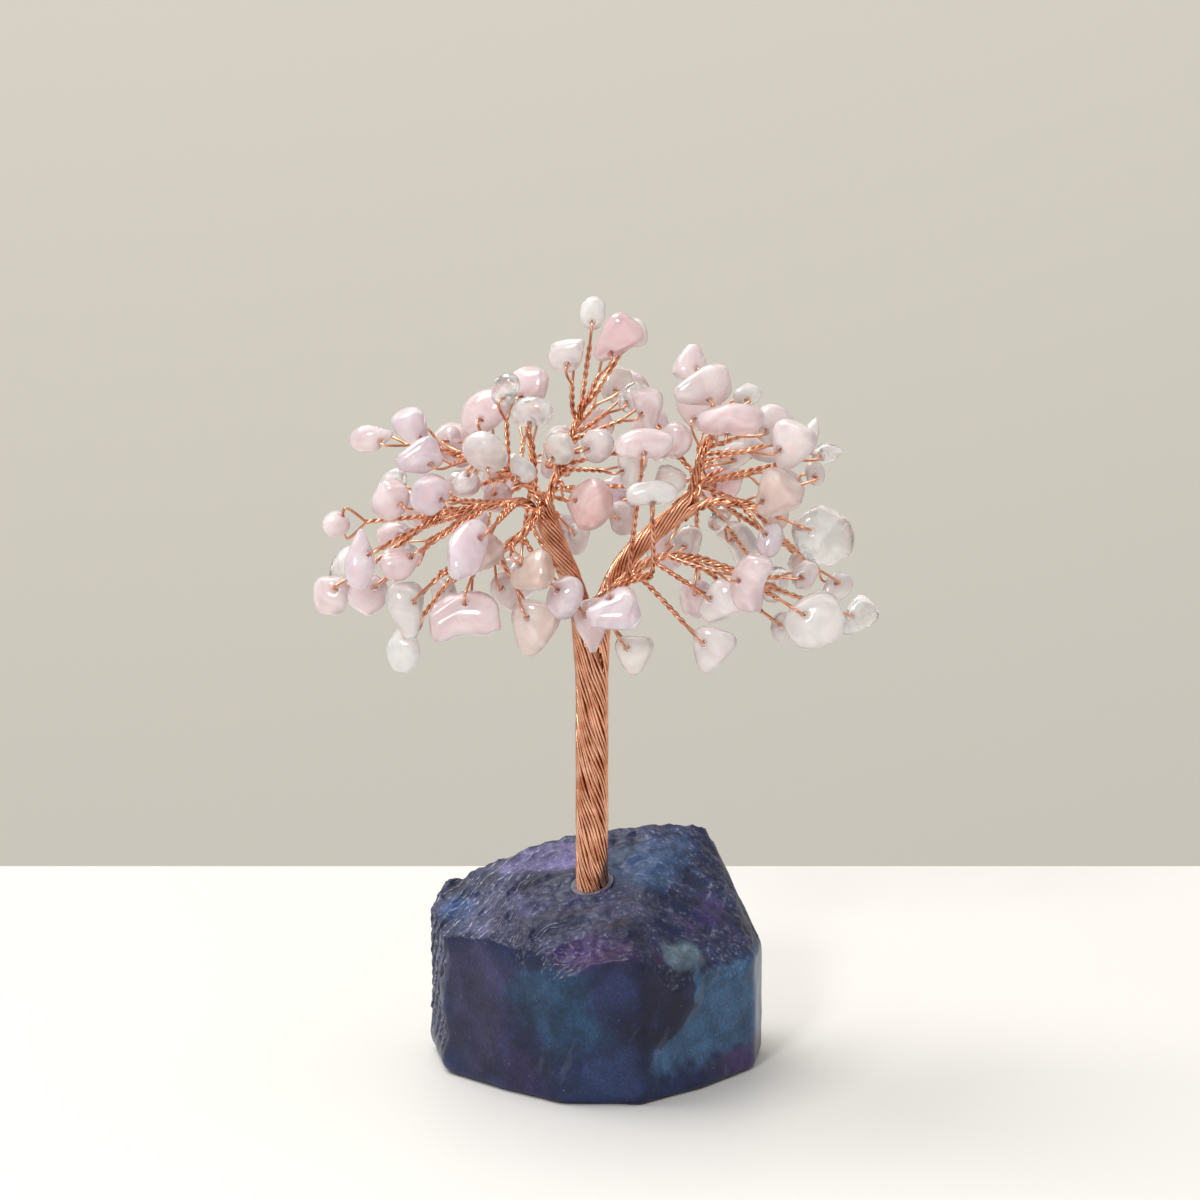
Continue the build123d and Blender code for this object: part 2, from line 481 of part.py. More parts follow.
# Glue that sets the trunk's foot in its socket
with BuildPart() as setting_glue:
    with BuildSketch(Plane.XY.offset(SOCKET_HEIGHT - SOCKET_DEPTH)):
        Circle(TRUNK_DIA / 2 + GLUE_WALL - GLUE_FIT)
    extrude(amount=SOCKET_DEPTH - GLUE_RECESS)
    with BuildSketch(Plane.XY.offset(TRUNK_FOOT)):
        Circle(TRUNK_DIA / 2 + WIRE_GAP)
    extrude(amount=SOCKET_DEPTH, mode=Mode.SUBTRACT)
save(setting_glue.part, "setting_glue")

# Core of the trunk: the wires under the outer layer
with BuildPart() as trunk_core:
    with BuildSketch(Plane.XY.offset(TRUNK_FOOT)):
        Circle(TRUNK_DIA / 2 - WIRE_DIA - CORE_GAP)
    extrude(amount=FORK_HEIGHT - TRUNK_FOOT)
save(trunk_core.part, "trunk_core")

# Outer layer of the trunk: left-handed strands, side by side
STRAND_RING = TRUNK_DIA / 2 - WIRE_RADIUS
LAY_ANGLE = math.atan(2 * math.pi * STRAND_RING / TRUNK_LAY)
STRAND_PITCH = WIRE_DIA / math.cos(LAY_ANGLE) + STRAND_GAP
STRAND_COUNT = math.floor(2 * math.pi * STRAND_RING / STRAND_PITCH)
STRAND_TURN = (FORK_HEIGHT - TRUNK_FOOT) / TRUNK_LAY
STRAND_QUARTERS = math.ceil(STRAND_TURN * 4)


def strand_point(share):
    """Point and direction of a strand at a share of its height."""
    angle = -2 * math.pi * STRAND_TURN * share
    height = TRUNK_FOOT + (FORK_HEIGHT - TRUNK_FOOT) * share
    point = Vector(STRAND_RING * math.cos(angle), STRAND_RING * math.sin(angle), height)
    direction = Vector(math.sin(angle), -math.cos(angle), 1 / math.tan(LAY_ANGLE)).normalized()
    return point, direction


def biarc_knot(start, start_direction, end, end_direction):
    """The point where two tangent arcs from the start and the end of a span meet."""
    chord = end - start
    both = start_direction + end_direction
    slope = chord.dot(both)
    spare = 2 * (1 - start_direction.dot(end_direction))
    reach = (math.sqrt(slope * slope + spare * chord.dot(chord)) - slope) / spare
    return (start + end + (start_direction - end_direction) * reach) / 2


with BuildPart() as trunk_strand:
    with BuildLine():
        for quarter in range(STRAND_QUARTERS):
            span_start, direction_start = strand_point(quarter / STRAND_QUARTERS)
            span_end, direction_end = strand_point((quarter + 1) / STRAND_QUARTERS)
            knot = biarc_knot(span_start, direction_start, span_end, direction_end)
            first_arc = TangentArc(span_start, knot, tangent=direction_start)
            TangentArc(knot, span_end, tangent=first_arc % 1)
    strand_foot, strand_direction = strand_point(0)
    with BuildSketch(Plane(strand_foot, z_dir=strand_direction)):
        Circle(WIRE_RADIUS)
    sweep()
    split(bisect_by=Plane.XY.offset(TRUNK_FOOT + WIRE_DIA), keep=Keep.TOP)
    split(bisect_by=Plane.XY.offset(FORK_HEIGHT - WIRE_DIA), keep=Keep.BOTTOM)
strands = [Rot(0, 0, 360 * turn / STRAND_COUNT) * trunk_strand.part for turn in range(STRAND_COUNT)]
save_group(strands, "trunk_strands")

# Limbs: they stand side by side on the trunk's top
left_limb_start = Vector(-LEFT_LIMB_DIA / 2 - BUNDLE_GAP / 2, 0, 0)
right_limb_start = Vector(RIGHT_LIMB_DIA / 2 + BUNDLE_GAP / 2, 0, 0)
left_limb_route = route_from_trunk(left_limb_start, LIMB_EXIT, LEFT_LIMB_ROUTE)
right_limb_route = route_from_trunk(right_limb_start, LIMB_EXIT, RIGHT_LIMB_ROUTE)
save(wire_bundle(left_limb_route, LEFT_LIMB_DIA), "left_limb")
save(wire_bundle(right_limb_route, RIGHT_LIMB_DIA), "right_limb")


def bough_route(limb_route, side, route):
    """A bough's route: square out of its place on the limb's end, then along its own points."""
    limb_direction = (limb_route[-1] - limb_route[-2]).normalized()
    start = limb_route[-1]
    if side is not None:
        start = start + across(Vector(*side), limb_direction) * (BOUGH_DIA + BUNDLE_GAP)
    return [start, start + limb_direction * BOUGH_EXIT] + route_from_fork(route)


front_row = -LEFT_LIMB_DIA / 2 - BUNDLE_GAP - BOUGH_DIA / 2
front_low_start = Vector(-BOUGH_DIA / 2 - BUNDLE_GAP, front_row, 0)
right_low_start = Vector(BOUGH_DIA / 2 + BUNDLE_GAP, front_row, 0)
BOUGHS = {
    "crown": (bough_route(left_limb_route, (1, 0, 0), CROWN_ROUTE), CROWN_CHIPS),
    "left_top": (bough_route(left_limb_route, None, LEFT_TOP_ROUTE), LEFT_TOP_CHIPS),
    "left_side": (bough_route(left_limb_route, (-1, 0, 0), LEFT_SIDE_ROUTE), LEFT_SIDE_CHIPS),
    "left_low": (bough_route(left_limb_route, (0, -1, 0), LEFT_LOW_ROUTE), LEFT_LOW_CHIPS),
    "left_back": (bough_route(left_limb_route, (0, 1, 0), LEFT_BACK_ROUTE), LEFT_BACK_CHIPS),
    "right_top": (bough_route(right_limb_route, (-1, 0, 0), RIGHT_TOP_ROUTE), RIGHT_TOP_CHIPS),
    "right_side": (bough_route(right_limb_route, (1, 0, 0), RIGHT_SIDE_ROUTE), RIGHT_SIDE_CHIPS),
    "right_back": (bough_route(right_limb_route, (0, 1, 0), RIGHT_BACK_ROUTE), RIGHT_BACK_CHIPS),
    "right_low": (route_from_trunk(right_low_start, LIMB_EXIT, RIGHT_LOW_ROUTE), RIGHT_LOW_CHIPS),
    "front_low": (route_from_trunk(front_low_start, LIMB_EXIT, FRONT_LOW_ROUTE), FRONT_LOW_CHIPS),
}

# Boughs with their twigs and chips
for bough_name, (route, rows) in BOUGHS.items():
    save(wire_bundle(route, BOUGH_DIA), f"{bough_name}_bough")
    twigs = []
    fixed_chips = []
    from_root = sorted(rows, key=lambda row: reach_order(row, route))
    for number, row in enumerate(from_root):
        share = FIRST_TWIG + (1 - FIRST_TWIG) * (number + 1) / len(rows)
        seat = ChipSeat(row, route, share)
        twigs.append(seat.twig())
        if len(row) > ROW_SIZE:
            save(seat.solid(), row[ROW_SIZE])
        else:
            fixed_chips.append(seat.solid())
    save_group(twigs, f"{bough_name}_twigs")
    save_group(fixed_chips, f"{bough_name}_chips")
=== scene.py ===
# %% [markdown]
# A small tree of twisted copper wire stands in a raw piece of fluorite. Its twigs end in eyes, and each
# eye holds a drilled chip of tumbled rose quartz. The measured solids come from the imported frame. This
# script dresses them: it lays the wires as real strands, tumbles the chips, breaks the stone's surface
# and gives each material its colour and grain. Lengths are written in millimetres and turned to metres.

# %% Load the measured frame
import math
import random

import bmesh
import bpy
import numpy as np
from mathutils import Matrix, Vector, noise


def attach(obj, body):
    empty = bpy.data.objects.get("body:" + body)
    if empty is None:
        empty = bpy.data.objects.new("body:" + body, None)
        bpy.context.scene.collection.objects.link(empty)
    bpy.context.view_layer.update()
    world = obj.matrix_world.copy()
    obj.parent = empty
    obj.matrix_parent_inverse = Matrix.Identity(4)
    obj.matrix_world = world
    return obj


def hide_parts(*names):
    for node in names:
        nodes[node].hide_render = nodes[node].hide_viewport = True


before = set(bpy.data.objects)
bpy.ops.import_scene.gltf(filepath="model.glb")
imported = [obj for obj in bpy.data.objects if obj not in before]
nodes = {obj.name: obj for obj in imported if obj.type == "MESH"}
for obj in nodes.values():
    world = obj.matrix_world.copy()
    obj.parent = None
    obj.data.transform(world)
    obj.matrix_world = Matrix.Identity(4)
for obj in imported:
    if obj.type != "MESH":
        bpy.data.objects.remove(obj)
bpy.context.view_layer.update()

MM = 0.001
print("solids in the frame:", len(nodes))

# %% [markdown]
# The camera comes first, because every later choice is judged through it. The photograph looks down at
# the tree by about 13 degrees through a long lens: the trunk's near and far chips have almost the same
# scale. A long lens far away keeps that flat look, and one photograph pixel covers 0.16 mm at the trunk.

# %% Camera
PHOTO_PIXELS = 1200
PIXEL_SIZE = 0.16
VIEW_SLOPE = math.radians(13)
VIEW_DISTANCE = 750
VIEW_TARGET = Vector((1.3, 0, 78.1)) * MM
SENSOR = 36

camera_lens = bpy.data.cameras.new("camera")
camera_lens.sensor_width = SENSOR
camera_lens.lens = SENSOR * VIEW_DISTANCE / (PHOTO_PIXELS * PIXEL_SIZE)
camera_lens.clip_start = 0.01
camera = bpy.data.objects.new("camera", camera_lens)
view_back = Vector((0, -math.cos(VIEW_SLOPE), math.sin(VIEW_SLOPE)))
camera.location = VIEW_TARGET + view_back * VIEW_DISTANCE * MM
camera.rotation_euler = (math.pi / 2 - VIEW_SLOPE, 0, 0)
bpy.context.scene.collection.objects.link(camera)
bpy.context.scene.camera = camera
print("lens", round(camera_lens.lens, 1), "mm")

# %% [markdown]
# The tree's plan is a list of routes and of chips. Every limb and bough follows a few points, measured
# from the fork at the trunk's top. Every chip has its middle, its three sizes, the lean of its length
# from upright, the turn and tip of its drilled face, and a tint. A chip that is loose in its
# eye also has the name of its own moving body. The same numbers drive the measured solids, so the wires
# laid here end exactly at the holes.

# %% Wire sizes and routes
WIRE = 0.45
TRUNK = 5.3
TRUNK_LAY = 45.0
FORK = Vector((0, 0, 74.0))
TRUNK_FOOT = 20.0
LEFT_LIMB = 3.5
RIGHT_LIMB = 3.2
BOUGH = 1.15
BUNDLE_GAP = 0.12
LIMB_EXIT = 3.0
BOUGH_EXIT = 1.5
UP = Vector((0, 0, 1))

LEFT_LIMB_ROUTE = [(-3.6, -0.2, 8.5), (-6.0, -0.8, 14.0), (-7.6, -1.0, 18.5)]
RIGHT_LIMB_ROUTE = [(4.6, -0.3, 10.0), (9.2, -0.6, 15.0), (15.0, -0.8, 19.5)]
CROWN_ROUTE = [(-5.6, 0.6, 24.0), (-3.4, 1.0, 30.0), (-1.2, 0.8, 36.5)]
LEFT_TOP_ROUTE = [(-10.0, -0.6, 23.2), (-15.0, -0.2, 26.0), (-23.0, 0.6, 28.2)]
LEFT_SIDE_ROUTE = [(-12.0, -1.6, 20.6), (-19.0, -2.2, 19.6), (-27.0, -2.6, 18.0)]
LEFT_LOW_ROUTE = [(-9.2, -4.4, 17.6), (-13.0, -5.0, 14.0), (-19.0, -4.6, 11.6), (-24.0, -4.4, 9.4)]
LEFT_BACK_ROUTE = [(-9.4, 4.0, 22.0), (-12.5, 9.0, 22.5), (-15.0, 14.0, 21.5)]
RIGHT_TOP_ROUTE = [(16.4, -1.0, 24.0), (17.4, -1.4, 28.6), (21.0, -1.2, 35.0)]
RIGHT_SIDE_ROUTE = [(20.0, -2.0, 20.8), (25.0, -2.8, 20.4), (28.6, -2.6, 18.6)]
RIGHT_BACK_ROUTE = [(17.0, 3.4, 22.0), (18.0, 8.6, 22.4), (17.0, 13.6, 21.6)]
RIGHT_LOW_ROUTE = [
    (4.6, -3.6, 8.4),
    (10.0, -4.2, 12.4),
    (16.5, -4.6, 12.2),
    (23.0, -4.8, 9.8),
    (28.5, -4.6, 7.0),
]
FRONT_LOW_ROUTE = [(0.2, -4.6, 5.0), (3.0, -6.2, 7.2), (6.0, -7.0, 9.0), (9.6, -7.2, 9.8)]
print("strand", WIRE, "mm, trunk", TRUNK, "mm")

# %% Chips of each bough
CROWN_CHIPS = [
    (-6.2, 8.0, 25.2, 6.2, 5.0, 3.4, 10, 170, 0, "pink"),
    (12.0, -3.4, 23.6, 6.4, 5.4, 3.4, 30, 10, 0, "cream"),
    (13.2, -2.2, 30.6, 6.0, 5.6, 3.6, 40, 10, 0, "pink"),
    (-0.2, -7.5, 21.2, 8.6, 8.0, 4.2, 60, -10, 0, "salmon"),
    (6.2, -6.2, 26.7, 6.8, 5.2, 3.4, 10, 10, 0, "grey"),
    (-4.9, -6.4, 30.4, 8.0, 5.6, 3.6, 50, -15, 10, "veined"),
    (1.0, 5.5, 31.6, 6.0, 5.0, 3.2, 20, 160, 0, "pink"),
    (1.0, -4.4, 30.3, 6.4, 5.4, 3.4, 30, 10, 5, "pale"),
    (9.0, -4.5, 36.0, 7.0, 5.2, 3.4, -5, 15, 0, "blush", "ring_eye"),
    (6.6, 1.0, 36.9, 5.8, 4.6, 3.0, 40, 15, 0, "clear"),
    (4.0, 7.5, 37.8, 6.6, 6.0, 3.6, 20, 30, 0, "cream"),
    (-3.7, -2.0, 44.5, 7.2, 5.6, 3.6, 50, -15, 0, "pale", "teardrop"),
    (7.0, 4.5, 46.7, 5.0, 4.0, 3.0, -20, 20, 0, "pale"),
    (3.7, -3.0, 46.9, 9.0, 6.6, 4.0, 40, 15, 0, "rose", "crown"),
    (0.2, 1.0, 50.4, 5.6, 4.2, 3.0, 8, 0, 0, "white", "top"),
]
LEFT_TOP_CHIPS = [
    (-20.6, 3.5, 22.4, 6.2, 4.8, 3.4, 80, -20, 0, "pink"),
    (-15.2, 2.6, 20.2, 6.0, 4.8, 3.4, 40, -20, 0, "pink"),
    (-9.4, -3.5, 35.2, 7.0, 5.4, 3.6, 80, -20, 0, "clear"),
    (-11.2, -5.6, 26.9, 6.0, 4.6, 3.2, -10, -15, 0, "white"),
    (-10.6, 8.0, 37.0, 9.0, 7.0, 4.0, 60, -30, 0, "pink"),
    (-16.6, -11.0, 30.4, 9.0, 7.4, 4.0, 0, -20, 0, "grey"),
    (-13.6, -1.0, 38.5, 6.0, 4.6, 3.2, 30, -30, 0, "pale"),
    (-17.2, 5.5, 33.6, 9.0, 7.0, 4.0, 45, -20, 0, "pink"),
    (-20.0, -6.4, 24.6, 4.6, 3.8, 2.8, 45, -30, 0, "pale"),
    (-22.9, 5.2, 29.4, 4.8, 4.0, 2.8, 70, -30, 0, "blush"),
    (-27.3, -7.8, 28.8, 7.6, 6.6, 4.0, 75, -25, 0, "lavender", "left_wedge"),
    (-28.3, -1.6, 32.2, 7.2, 6.0, 3.8, -25, -30, 0, "lavender"),
    (-34.9, 2.0, 30.1, 7.6, 4.6, 3.4, 78, -35, 0, "pink", "left_leaf"),
]
LEFT_SIDE_CHIPS = [
    (-17.7, -9.2, 13.9, 8.4, 6.4, 4.0, 65, -10, 0, "tan"),
    (-19.4, -15.5, 15.7, 11.0, 6.4, 4.4, 35, -10, 0, "lavender"),
    (-25.4, -9.5, 23.3, 6.8, 6.6, 4.0, 20, -15, 0, "lavender"),
    (-32.0, 3.0, 21.8, 7.4, 4.4, 3.2, 30, -30, 0, "clear"),
    (-30.0, -8.0, 12.0, 7.2, 5.4, 3.8, 70, -15, 0, "pink"),
    (-31.8, 5.2, 13.3, 6.8, 4.8, 3.4, 75, -20, 0, "pink"),
    (-31.7, -6.5, 21.8, 6.8, 6.0, 3.6, 30, -20, 0, "pink"),
    (-36.4, -11.5, 13.4, 10.0, 5.0, 4.0, 8, -15, 0, "lavender", "left_long"),
    (-35.5, -5.0, 6.1, 7.0, 6.2, 3.8, 40, -20, 0, "pink"),
    (-39.5, 4.0, 8.7, 7.6, 4.8, 3.4, 30, -35, 0, "clear"),
    (-41.6, -1.0, 5.1, 6.6, 6.4, 3.8, 0, -35, 0, "blush", "far_left"),
    (-40.5, -4.0, 17.4, 5.0, 4.6, 3.8, 0, -10, 80, "pink", "left_tip"),
]
LEFT_LOW_CHIPS = [
    (-4.2, -11.2, 7.1, 7.4, 5.8, 3.8, 15, -5, 0, "lavender"),
    (0.0, -8.5, 2.1, 9.6, 5.6, 3.4, 176, 0, 0, "pink"),
    (-9.6, -13.5, 11.5, 8.0, 7.0, 4.0, 60, -5, 0, "smoky"),
    (-9.3, -7.0, 1.1, 9.2, 8.2, 4.4, 10, -5, 0, "tan", "pear"),
    (-13.5, -1.5, 5.8, 7.0, 5.4, 3.4, -20, -20, 0, "blush"),
    (-20.2, -9.5, 3.4, 12.0, 8.6, 4.8, 80, -10, 0, "pink", "bean"),
    (-23.8, 1.2, 5.1, 5.0, 4.4, 3.2, 45, -20, 0, "pale"),
    (-29.3, -8.0, 4.2, 9.4, 6.4, 3.8, -8, -15, 0, "grey", "left_hanging"),
    (-30.1, -1.0, -3.1, 9.0, 6.0, 3.6, 5, -25, 0, "white", "white_hanging"),
]
LEFT_BACK_CHIPS = [
    (-2.4, 6.0, 13.0, 6.0, 4.4, 3.2, 10, 10, 0, "white"),
    (4.8, 6.0, 16.2, 6.0, 4.6, 3.2, -15, 20, 0, "pale"),
    (-4.0, 13.0, 12.0, 8.0, 6.4, 4.0, 30, 170, 0, "pink"),
    (-5.0, 18.0, 25.0, 8.0, 7.0, 4.0, 20, 190, 0, "blush"),
    (-10.0, 14.0, 33.0, 8.4, 6.6, 4.0, 50, 200, 0, "lavender"),
    (-22.0, 12.0, 27.0, 8.0, 6.6, 4.0, 40, 215, 0, "pink"),
    (-12.0, 13.0, 5.0, 8.0, 6.6, 4.0, 15, 180, 0, "pale"),
    (-28.0, 11.0, 17.0, 7.6, 6.0, 3.8, 30, 230, 0, "pink"),
    (-31.0, 9.0, 8.0, 7.4, 6.0, 3.6, 0, 235, 0, "clear"),
    (-19.0, 16.0, 12.0, 8.6, 7.0, 4.0, -20, 205, 0, "blush"),
    (-15.0, 22.0, 20.0, 9.0, 7.4, 4.2, 10, 190, 0, "pink"),
]
RIGHT_TOP_CHIPS = [
    (22.9, 6.0, 26.4, 7.0, 4.2, 3.2, 80, 20, 0, "pale"),
    (37.4, -1.0, 28.3, 5.6, 3.4, 2.8, 80, 30, 0, "clear", "right_shard"),
    (31.4, -6.8, 30.4, 8.4, 7.4, 3.8, 20, 25, 0, "pale"),
    (35.0, 5.0, 30.4, 5.4, 3.2, 2.6, 22, 40, 0, "clear"),
    (28.8, -1.0, 32.7, 7.2, 6.6, 3.8, -40, 30, 0, "pale"),
    (21.8, -8.5, 35.0, 11.0, 6.8, 4.2, 85, 15, 0, "pink"),
    (24.8, 5.0, 36.5, 5.6, 3.8, 3.0, 80, 25, 0, "white"),
    (17.3, -5.4, 39.6, 9.6, 7.6, 4.0, 75, 10, 0, "pale"),
    (15.8, 2.0, 42.3, 6.0, 6.0, 3.6, 188, 15, 0, "pink", "right_peak"),
]
RIGHT_SIDE_CHIPS = [
    (20.5, 4.0, 16.7, 5.0, 4.0, 3.0, 10, 20, 0, "clear"),
    (29.0, -8.0, 22.7, 8.6, 8.0, 4.2, 40, 10, 0, "tan"),
    (28.2, -7.5, 15.5, 5.8, 4.2, 3.0, 10, 5, 0, "lavender"),
    (35.7, 4.0, 24.0, 4.4, 3.6, 2.6, -30, 40, 0, "pale"),
    (34.6, 6.5, 9.3, 6.8, 4.8, 3.4, 70, 30, 0, "tan"),
    (39.4, 4.6, 5.1, 6.6, 4.6, 3.2, 60, 40, 0, "pale"),
    (36.8, -4.0, 15.5, 10.0, 9.4, 4.6, -30, 25, 0, "clear", "clear"),
]
RIGHT_BACK_CHIPS = [
    (29.4, 5.0, 16.9, 5.4, 4.8, 3.2, 0, 20, 0, "tan"),
    (17.0, 10.0, 2.0, 7.4, 6.0, 3.8, 0, 170, 0, "pink"),
    (12.0, 15.0, 9.0, 7.6, 6.4, 3.8, -15, 170, 0, "blush"),
    (28.0, 14.0, 3.4, 7.0, 5.6, 3.4, 10, 125, 0, "clear"),
    (31.0, 12.4, 20.0, 7.6, 6.4, 3.8, 35, 130, 0, "pink"),
    (4.0, 17.0, 17.0, 8.0, 6.6, 4.0, 20, 175, 0, "lavender"),
    (28.0, 12.0, 27.0, 7.4, 6.0, 3.6, 70, 140, 0, "pale"),
    (6.0, 14.0, 36.0, 7.4, 6.0, 3.8, 60, 165, 0, "pink"),
    (17.0, 13.0, 33.0, 8.0, 6.6, 4.0, 40, 155, 0, "blush"),
    (24.0, 16.0, 10.0, 8.2, 6.6, 4.0, 20, 150, 0, "grey"),
    (10.0, 19.0, 27.0, 8.6, 7.0, 4.0, 30, 170, 0, "pink"),
    (21.0, 21.0, 19.0, 8.4, 7.4, 4.2, 0, 160, 0, "rose"),
]
RIGHT_LOW_CHIPS = [
    (15.4, 2.5, 13.0, 6.0, 4.6, 3.2, 20, 10, 0, "pale"),
    (19.0, -7.0, -2.5, 7.6, 7.4, 3.6, 15, 5, 0, "pale", "right_hanging"),
    (20.2, -8.0, 5.3, 8.0, 7.0, 4.0, 50, 10, 0, "pale"),
    (25.0, -13.0, 9.9, 9.6, 6.8, 4.4, 10, 5, 0, "pink", "hooked"),
    (29.4, 2.0, 6.1, 6.4, 4.6, 3.2, 15, 20, 0, "clear"),
    (30.6, 1.0, -0.6, 5.4, 4.0, 3.0, 0, 20, 0, "pale"),
    (35.5, -9.0, 2.6, 10.0, 9.0, 4.4, 60, 15, 0, "grey", "grey"),
    (42.4, -1.0, 1.4, 7.2, 5.6, 3.2, 50, 35, 0, "clear", "far_right"),
    (34.0, -1.1, 8.4, 5.4, 4.2, 3.0, 30, 20, 0, "pale"),
]
FRONT_LOW_CHIPS = [
    (8.2, -11.5, 31.8, 9.8, 5.0, 3.8, 85, 5, 0, "blush"),
    (3.2, -13.8, 5.4, 9.0, 7.8, 4.2, 70, 0, 0, "lavender"),
    (6.7, -7.0, -3.3, 6.6, 6.4, 3.6, 0, 0, 0, "cream", "front_hanging"),
    (9.4, -13.2, 24.2, 8.4, 4.6, 3.6, 88, 5, 0, "white"),
]
print("chips low at the front", len(FRONT_LOW_CHIPS))

# %% [markdown]
# A bough leaves its limb's end square to the cut, and a front bough leaves the trunk's top straight up.
# These helpers join such a start to the points of the route, so a bough here lies where its solid lies.

# %% Routes in place
def square_to(vector, axis):
    """The part of a vector that is square to an axis, one unit long."""
    return (vector - axis * vector.dot(axis)).normalized()


def from_fork(points):
    return [FORK + Vector(point) for point in points]


def from_trunk(start, points):
    return [FORK + start, FORK + start + UP * LIMB_EXIT] + from_fork(points)


def from_limb(limb, side, points):
    direction = (limb[-1] - limb[-2]).normalized()
    start = limb[-1]
    if side is not None:
        start = start + square_to(Vector(side), direction) * (BOUGH + BUNDLE_GAP)
    return [start, start + direction * BOUGH_EXIT] + from_fork(points)


left_limb = from_trunk(Vector((-LEFT_LIMB / 2 - BUNDLE_GAP / 2, 0, 0)), LEFT_LIMB_ROUTE)
right_limb = from_trunk(Vector((RIGHT_LIMB / 2 + BUNDLE_GAP / 2, 0, 0)), RIGHT_LIMB_ROUTE)
front_row = -LEFT_LIMB / 2 - BUNDLE_GAP - BOUGH / 2
front_low_start = Vector((-BOUGH / 2 - BUNDLE_GAP, front_row, 0))
right_low_start = Vector((BOUGH / 2 + BUNDLE_GAP, front_row, 0))
BOUGHS = {
    "crown": (from_limb(left_limb, (1, 0, 0), CROWN_ROUTE), CROWN_CHIPS),
    "left_top": (from_limb(left_limb, None, LEFT_TOP_ROUTE), LEFT_TOP_CHIPS),
    "left_side": (from_limb(left_limb, (-1, 0, 0), LEFT_SIDE_ROUTE), LEFT_SIDE_CHIPS),
    "left_low": (from_limb(left_limb, (0, -1, 0), LEFT_LOW_ROUTE), LEFT_LOW_CHIPS),
    "left_back": (from_limb(left_limb, (0, 1, 0), LEFT_BACK_ROUTE), LEFT_BACK_CHIPS),
    "right_top": (from_limb(right_limb, (-1, 0, 0), RIGHT_TOP_ROUTE), RIGHT_TOP_CHIPS),
    "right_side": (from_limb(right_limb, (1, 0, 0), RIGHT_SIDE_ROUTE), RIGHT_SIDE_CHIPS),
    "right_back": (from_limb(right_limb, (0, 1, 0), RIGHT_BACK_ROUTE), RIGHT_BACK_CHIPS),
    "right_low": (from_trunk(right_low_start, RIGHT_LOW_ROUTE), RIGHT_LOW_CHIPS),
    "front_low": (from_trunk(front_low_start, FRONT_LOW_ROUTE), FRONT_LOW_CHIPS),
}
print("boughs", len(BOUGHS), "chips", sum(len(chips) for route, chips in BOUGHS.values()))

# %% [markdown]
# Colours are picked as sRGB hex values, the way a paint program shows them. Blender's shaders work in
# linear light, so one function turns the one into the other. A second small function adds a node, sets
# its values and links its inputs, which keeps each material below readable as a list of steps.

# %% Colour and node helpers
def linear(hex_colour):
    """A linear RGBA colour from an sRGB hex value."""
    channels = [int(hex_colour[start : start + 2], 16) / 255 for start in (0, 2, 4)]
    curve = [c / 12.92 if c <= 0.04045 else ((c + 0.055) / 1.055) ** 2.4 for c in channels]
    return (*curve, 1.0)


def add_node(material, kind, links=None, **settings):
    """Adds a node, sets its inputs or properties by name, and links sockets to its inputs."""
    node = material.node_tree.nodes.new(kind)
    for name, value in settings.items():
        if hasattr(node, name):
            setattr(node, name, value)
        else:
            node.inputs[name.replace("_", " ")].default_value = value
    for name, socket in (links or {}).items():
        material.node_tree.links.new(socket, node.inputs[name])
    return node


def grain_noise(material, place, size, **settings):
    """A noise texture with patches of about a size in millimetres."""
    return add_node(material, "ShaderNodeTexNoise", {"Vector": place}, Scale=1 / (size * MM), **settings)


def new_material(name):
    """An empty node material and its surface shader."""
    material = bpy.data.materials.new(name)
    material.use_nodes = True
    shader = material.node_tree.nodes["Principled BSDF"]
    return material, shader


def blend_colours(material, factor, first, second, mode="MIX"):
    """A colour mix of two sockets or colours by a factor socket or number."""
    mix = add_node(material, "ShaderNodeMix", data_type="RGBA", blend_type=mode)
    for index, value in ((0, factor), (6, first), (7, second)):
        if isinstance(value, bpy.types.NodeSocket):
            material.node_tree.links.new(value, mix.inputs[index])
        else:
            mix.inputs[index].default_value = value
    return mix.outputs[2]


def ramp(material, source, stops):
    """A ramp from grey positions to greys or colours."""
    node = add_node(material, "ShaderNodeValToRGB", {"Fac": source})
    band = node.color_ramp
    while len(band.elements) < len(stops):
        band.elements.new(0.5)
    for element, (place, value) in zip(band.elements, stops):
        element.position = place
        element.color = value if isinstance(value, tuple) else (value, value, value, 1)
    return node.outputs["Color"]


print("middle grey in linear light", round(linear("808080")[0], 3))

# %% [markdown]
# Drawn copper wire is pulled through a die, so it is smooth and bright along its length, with faint drawn
# lines and a little brown tarnish in the lay between strands. It is a pure metal: metallic 1, the default
# IOR, and all of its colour in the reflection.

# %% Drawn copper wire
copper, copper_shader = new_material("drawn copper wire")
place = add_node(copper, "ShaderNodeTexCoord").outputs["Object"]
TARNISH_PATCH = 3.0
tarnish = grain_noise(copper, place, TARNISH_PATCH, Detail=4.0)
tarnish_amount = ramp(copper, tarnish.outputs["Fac"], [(0.38, 0.0), (0.68, 1.0)])
copper_colour = blend_colours(copper, tarnish_amount, linear("EDB798"), linear("BF7A57"))
DRAWN_LINE = 0.12
drawn = grain_noise(copper, place, DRAWN_LINE, Detail=2.0)
drawn_height = {"Height": drawn.outputs["Fac"]}
drawn_bump = add_node(copper, "ShaderNodeBump", drawn_height, Strength=0.15, Distance=0.02 * MM)
copper_rough = add_node(copper, "ShaderNodeMapRange", {"Value": tarnish.outputs["Fac"]})
copper_rough.inputs["To Min"].default_value = 0.18
copper_rough.inputs["To Max"].default_value = 0.3
copper.node_tree.links.new(copper_colour, copper_shader.inputs["Base Color"])
copper.node_tree.links.new(copper_rough.outputs["Result"], copper_shader.inputs["Roughness"])
